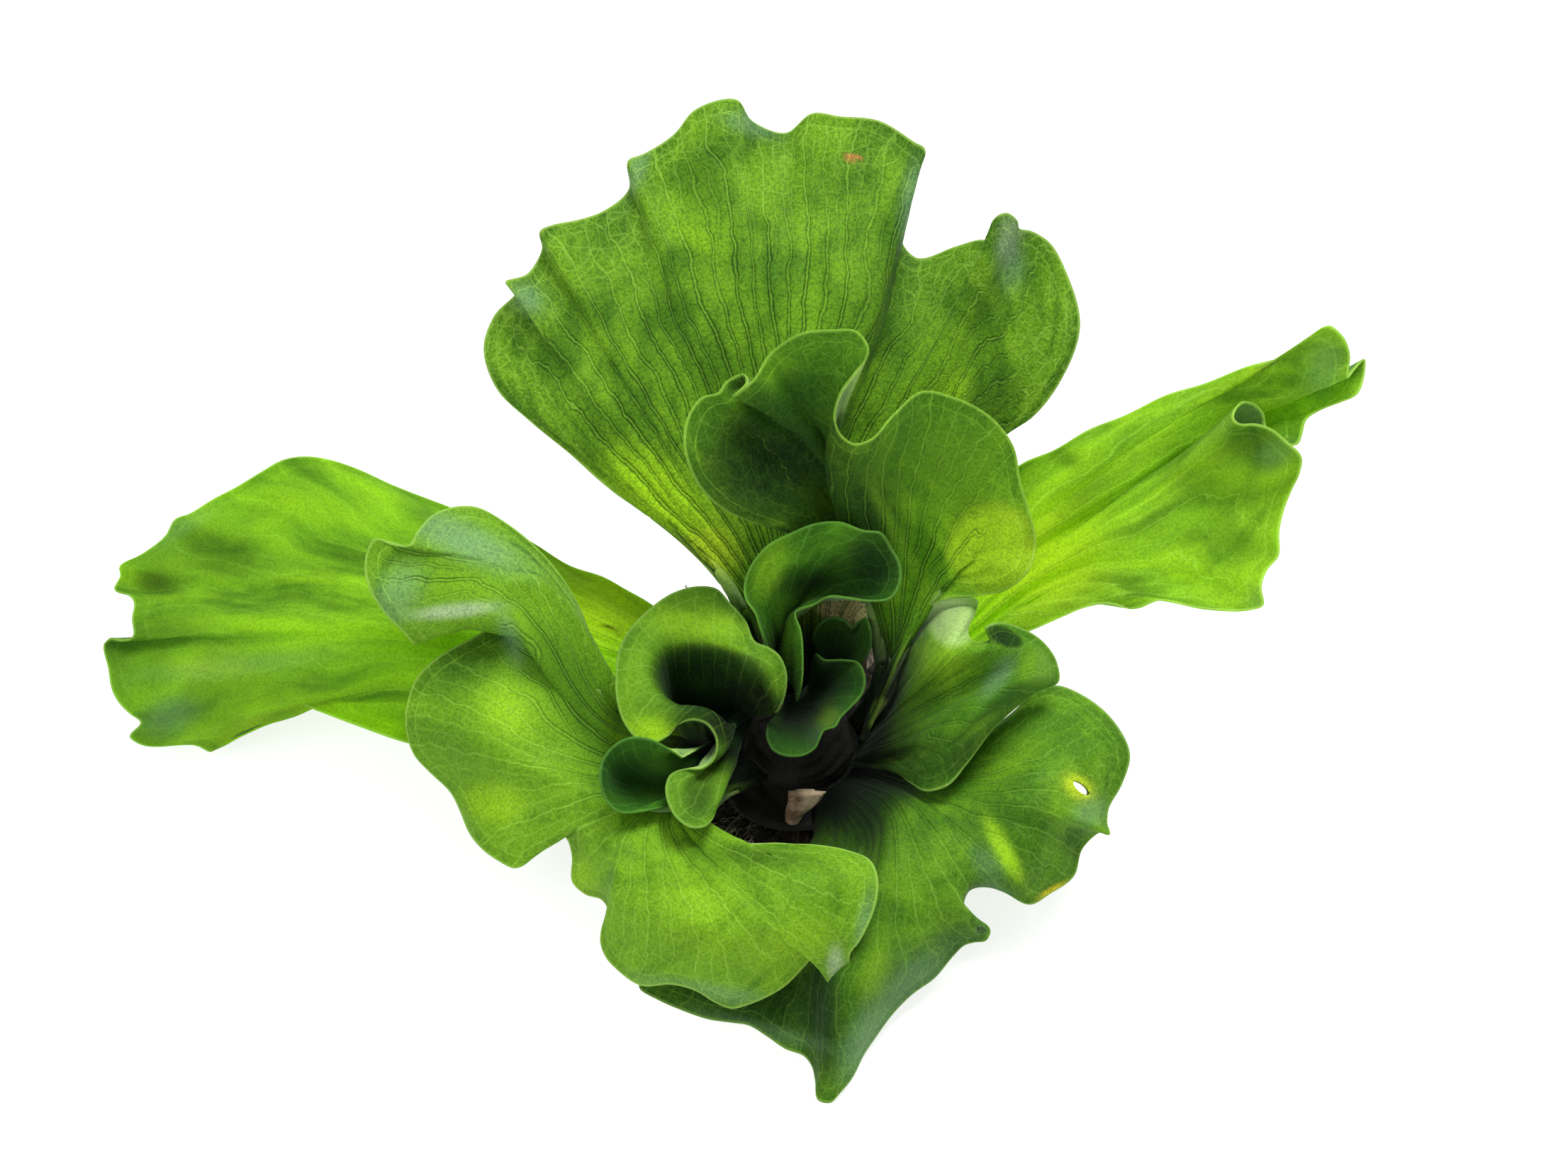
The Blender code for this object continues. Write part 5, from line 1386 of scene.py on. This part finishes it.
def ringed(rings):
    """The points and faces of a closed solid of stacked rings, level by level."""
    index = np.arange(rings.shape[0] * rings.shape[1]).reshape(rings.shape[:2])
    after = np.roll(index, -1, axis=1)
    quads = np.stack((index[:-1], after[:-1], after[1:], index[1:]), axis=-1).reshape(-1, 4).tolist()
    return rings.reshape(-1, 3), quads + [index[0, ::-1].tolist(), index[-1].tolist()]


def root_core():
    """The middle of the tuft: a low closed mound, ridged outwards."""
    turns = np.linspace(0, 2 * pi, CORE_SIDES, endpoint=False)
    reach = np.interp(np.degrees(turns), *np.array(ROOT_REACH, float).T)
    share, level = np.array(ROOT_CORE, float).T[:, :, None]
    bulge, bearing, spread = CORE_BULGE
    tufts = 1 + bulge * np.exp(-((np.degrees(turns) - bearing) / spread) ** 2)
    ragged = 0
    for (height, around_it, outwards), seed in zip(CORE_RAGGED, SEEDS["core"]):
        ragged = ragged + height * ripple(turns * around_it, share * outwards, seed)
    ridges = 1 + CORE_ROUGHNESS * ragged
    out = reach * share * tufts * (1 + (ridges - 1) * share / share.max())
    return ringed(np.stack((out * np.cos(turns), out * np.sin(turns), level * (1.6 * ridges - 0.6)), axis=-1))


def strands(rng):
    """The roots' directions, the shares of their length that are worked out, and their paths."""
    turns = np.linspace(0, 2 * pi, ROOT_COUNT, endpoint=False)
    turns = turns + rng.uniform(-ROOT_TURN, ROOT_TURN, ROOT_COUNT)
    reach = np.interp(np.degrees(turns) % 360, *np.array(ROOT_REACH, float).T)
    reach = reach * rng.uniform(*ROOT_LENGTHS, ROOT_COUNT)
    level = rng.uniform(*ROOT_LEVELS, ROOT_COUNT)
    steps = np.linspace(0, 1, ROOT_STEPS)
    out = ROOT_START + (reach[:, None] - ROOT_START) * steps
    lowest, rise = ROOT_RISE
    height = lowest + level[:, None] * rise * (1 - steps ** 1.3) * (1 - 0.5 * steps)
    number = np.arange(ROOT_COUNT)[:, None]
    wander = 0
    for (height_aside, waves_along, apart), seed in zip(ROOT_WANDER, SEEDS["wander"]):
        wander = wander + height_aside * ripple(steps * waves_along, number * apart, seed) * steps
    heading = np.stack((np.cos(turns), np.sin(turns)), axis=1)[:, None]
    aside = np.stack((-np.sin(turns), np.cos(turns)), axis=1)[:, None]
    flat = heading * out[:, :, None] + aside * wander[:, :, None]
    return turns, steps, np.concatenate((flat, height[:, :, None]), axis=2)


def side_hairs(rng, turns, steps, paths):
    """The paths of the fine hairs on both sides of every root."""
    along = np.linspace(*HAIR_SPAN, ROOT_HAIRS)
    side = np.where(np.arange(ROOT_HAIRS) % 2, 1, -1)
    bits = np.linspace(0, 1, len(HAIR_RADII))
    hairs = []
    for path, bearing in zip(paths, turns):
        feet = np.stack([np.interp(along, steps, column) for column in path.T], axis=1)
        angle = bearing + side * rng.uniform(*HAIR_ANGLES, ROOT_HAIRS)
        size = rng.uniform(*HAIR_LENGTHS, ROOT_HAIRS) * (1 - 0.45 * along)
        lift = rng.uniform(-HAIR_LIFT, HAIR_LIFT, ROOT_HAIRS)
        bent = angle[:, None] - side[:, None] * (HAIR_BEND * bits)
        way = np.stack((np.cos(bent), np.sin(bent), lift[:, None] + 0 * bent), axis=2)
        hairs.append(feet[:, None] + bits[None, :, None] * size[:, None, None] * way)
    hairs = np.concatenate(hairs)
    hairs[:, :, 2] = np.clip(hairs[:, :, 2], *HAIR_HEIGHTS)
    return hairs


def roots():
    """The tuft: strands with side hairs, over a packed core."""
    rng = np.random.default_rng(SEEDS["roots"])
    turns, steps, paths = strands(rng)
    hairs = side_hairs(rng, turns, steps, paths)
    foot, tip = ROOT_RADII
    radii = (foot - (foot - tip) * steps) * np.ones((ROOT_COUNT, 1))
    thin = np.array(HAIR_RADII) * np.ones((len(hairs), 1))
    points, faces = [], []
    for some_points, some_faces in (tubes(paths, radii, 5), tubes(hairs, thin, 3), root_core()):
        first = sum(map(len, points))
        core_start = len(faces)
        points.append(some_points)
        faces += [[corner + first for corner in face] for face in some_faces]
    skins = (
        plain_skin("roots_tuft", paint(84, 72, 64), paint(186, 170, 160), 900.0, 0.85, 0.1),
        plain_skin("roots_core", paint(14, 12, 9), paint(66, 54, 45), 1200.0, 0.9, 0.3),
    )
    second = np.arange(len(faces)) >= core_start + CORE_FRINGE * CORE_SIDES
    make_piece("roots_tuft", "roots", np.concatenate(points), faces, skins, second)


def stem():
    """The stem: scarred by the bases of shed leaves, with knobs where roots leave it."""
    profile = np.array(STEM_PROFILE)
    wide, height = smooth_curve(knots_of(profile), profile, np.linspace(0, 1, STEM_LEVELS)).T[:, :, None]
    turns = np.linspace(0, 2 * pi, STEM_SIDES, endpoint=False)
    scars = SCAR_HEIGHT * np.sin(height * 5.2 + 2.0 * np.sin(turns * 3)) * ease(wide, 2.0, 5.5)
    knobs = KNOB_HEIGHT * ripple(turns * 5.0, height * 1.7, SEEDS["stem"])
    wide = wide - STEM_SHRINK + scars + knobs
    height = np.clip(height, STEM_PROFILE[0][1], STEM_PROFILE[-1][1]) + 0 * wide
    rings = np.stack((wide * np.cos(turns), wide * np.sin(turns), height), axis=-1)
    # near black: the stem's own dark brown, with painted shade of the crown
    skin = plain_skin("stem_crown", paint(6, 6, 4), paint(20, 18, 11), 500.0, 0.75, 0.3)
    make_piece("stem_crown", "stem", *ringed(rings), (skin,))


def stub():
    """The stub of a shed leaf: papery and torn at its top."""
    table = np.array(STUB_RINGS)
    places = np.linspace(0, 1, STUB_LEVELS)
    across, back, height, width, depth = smooth_curve(knots_of(table[:, :3]), table, places).T[:, :, None]
    turns = np.linspace(0, 2 * pi, STUB_SIDES, endpoint=False)
    torn = STUB_TEAR * ripple(turns * 3.0, 0.0, SEEDS["stub"]) * places[:, None] ** 6
    crease = 1 + STUB_CREASE * np.cos(turns * 9) * places[:, None]
    aside, ahead = width / 2 * np.cos(turns) * crease, depth / 2 * np.sin(turns) * crease
    rings = np.stack((across + aside, back + ahead, height - np.abs(torn)), axis=-1)
    skin = plain_skin("old_leaf_stub", paint(92, 66, 46), paint(188, 168, 140), 260.0, 0.8, 0.2)
    make_piece("old_leaf_stub", "old_leaf_base", *ringed(rings), (skin,))


# Stage, light and camera


def placed(name, data):
    made = bpy.data.objects.new(name, data)
    bpy.context.scene.collection.objects.link(made)
    return made


def stage():
    mesh = bpy.data.meshes.new("floor")
    half = 3.0  # metres
    corners = [(-half, -half, 0), (half, -half, 0), (half, half, 0), (-half, half, 0)]
    mesh.from_pydata(corners, [], [(0, 1, 2, 3)])
    floor = placed("floor", mesh)
    skin = Skin("floor")
    cloud = skin.noise(skin.spot(), 3.0, 2.0)
    colour = skin.blend(cloud, (0.50, 0.50, 0.505, 1.0), (0.54, 0.54, 0.535, 1.0))
    white = (1.0, 1.0, 1.0, 1.0)
    skin.finish(colour, 0.9, Specular_IOR_Level=0.1, Emission_Color=white, Emission_Strength=0.75)
    mesh.materials.append(skin.material)


def light(name, place, size, watts, colour):
    lamp = bpy.data.lights.new(name, "AREA")
    lamp.shape = "DISK"
    lamp.size = size
    lamp.energy = watts
    lamp.color = colour
    made = placed(name, lamp)
    made.location = place
    direction = np.array(LIGHT_AIM) - np.array(place)
    made.rotation_euler = Vector(direction).to_track_quat("-Z", "Y").to_euler()


def lights():
    world = bpy.data.worlds.new("soft_daylight")
    world.use_nodes = True
    sky = world.node_tree.nodes["Background"]
    sky.inputs["Color"].default_value = (1.0, 1.0, 1.0, 1.0)
    sky.inputs["Strength"].default_value = 0.48
    bpy.context.scene.world = world
    light("key", (0.2, 0.26, 0.85), 0.45, 10.0, (1.0, 1.0, 0.98))
    light("fill", (-0.5, -0.4, 0.6), 0.6, 2.6, (0.97, 0.99, 1.0))


def camera():
    lens = bpy.data.cameras.new("camera")
    lens.sensor_fit = "HORIZONTAL"
    lens.sensor_width = SENSOR
    lens.lens = FOCAL / VIEW_PIXELS[0] * SENSOR
    lens.clip_start = 0.01
    made = placed("camera", lens)
    made.location = EYE * METRES
    made.rotation_euler = (pi / 2 - VIEW_ELEVATION, 0, 0)
    bpy.context.scene.camera = made


def main():
    bpy.context.scene.view_settings.view_transform = "Standard"
    camera()
    lights()
    stage()
    roots()
    stem()
    stub()
    for number, name in enumerate(LEAVES):
        blade(name, number)


main()
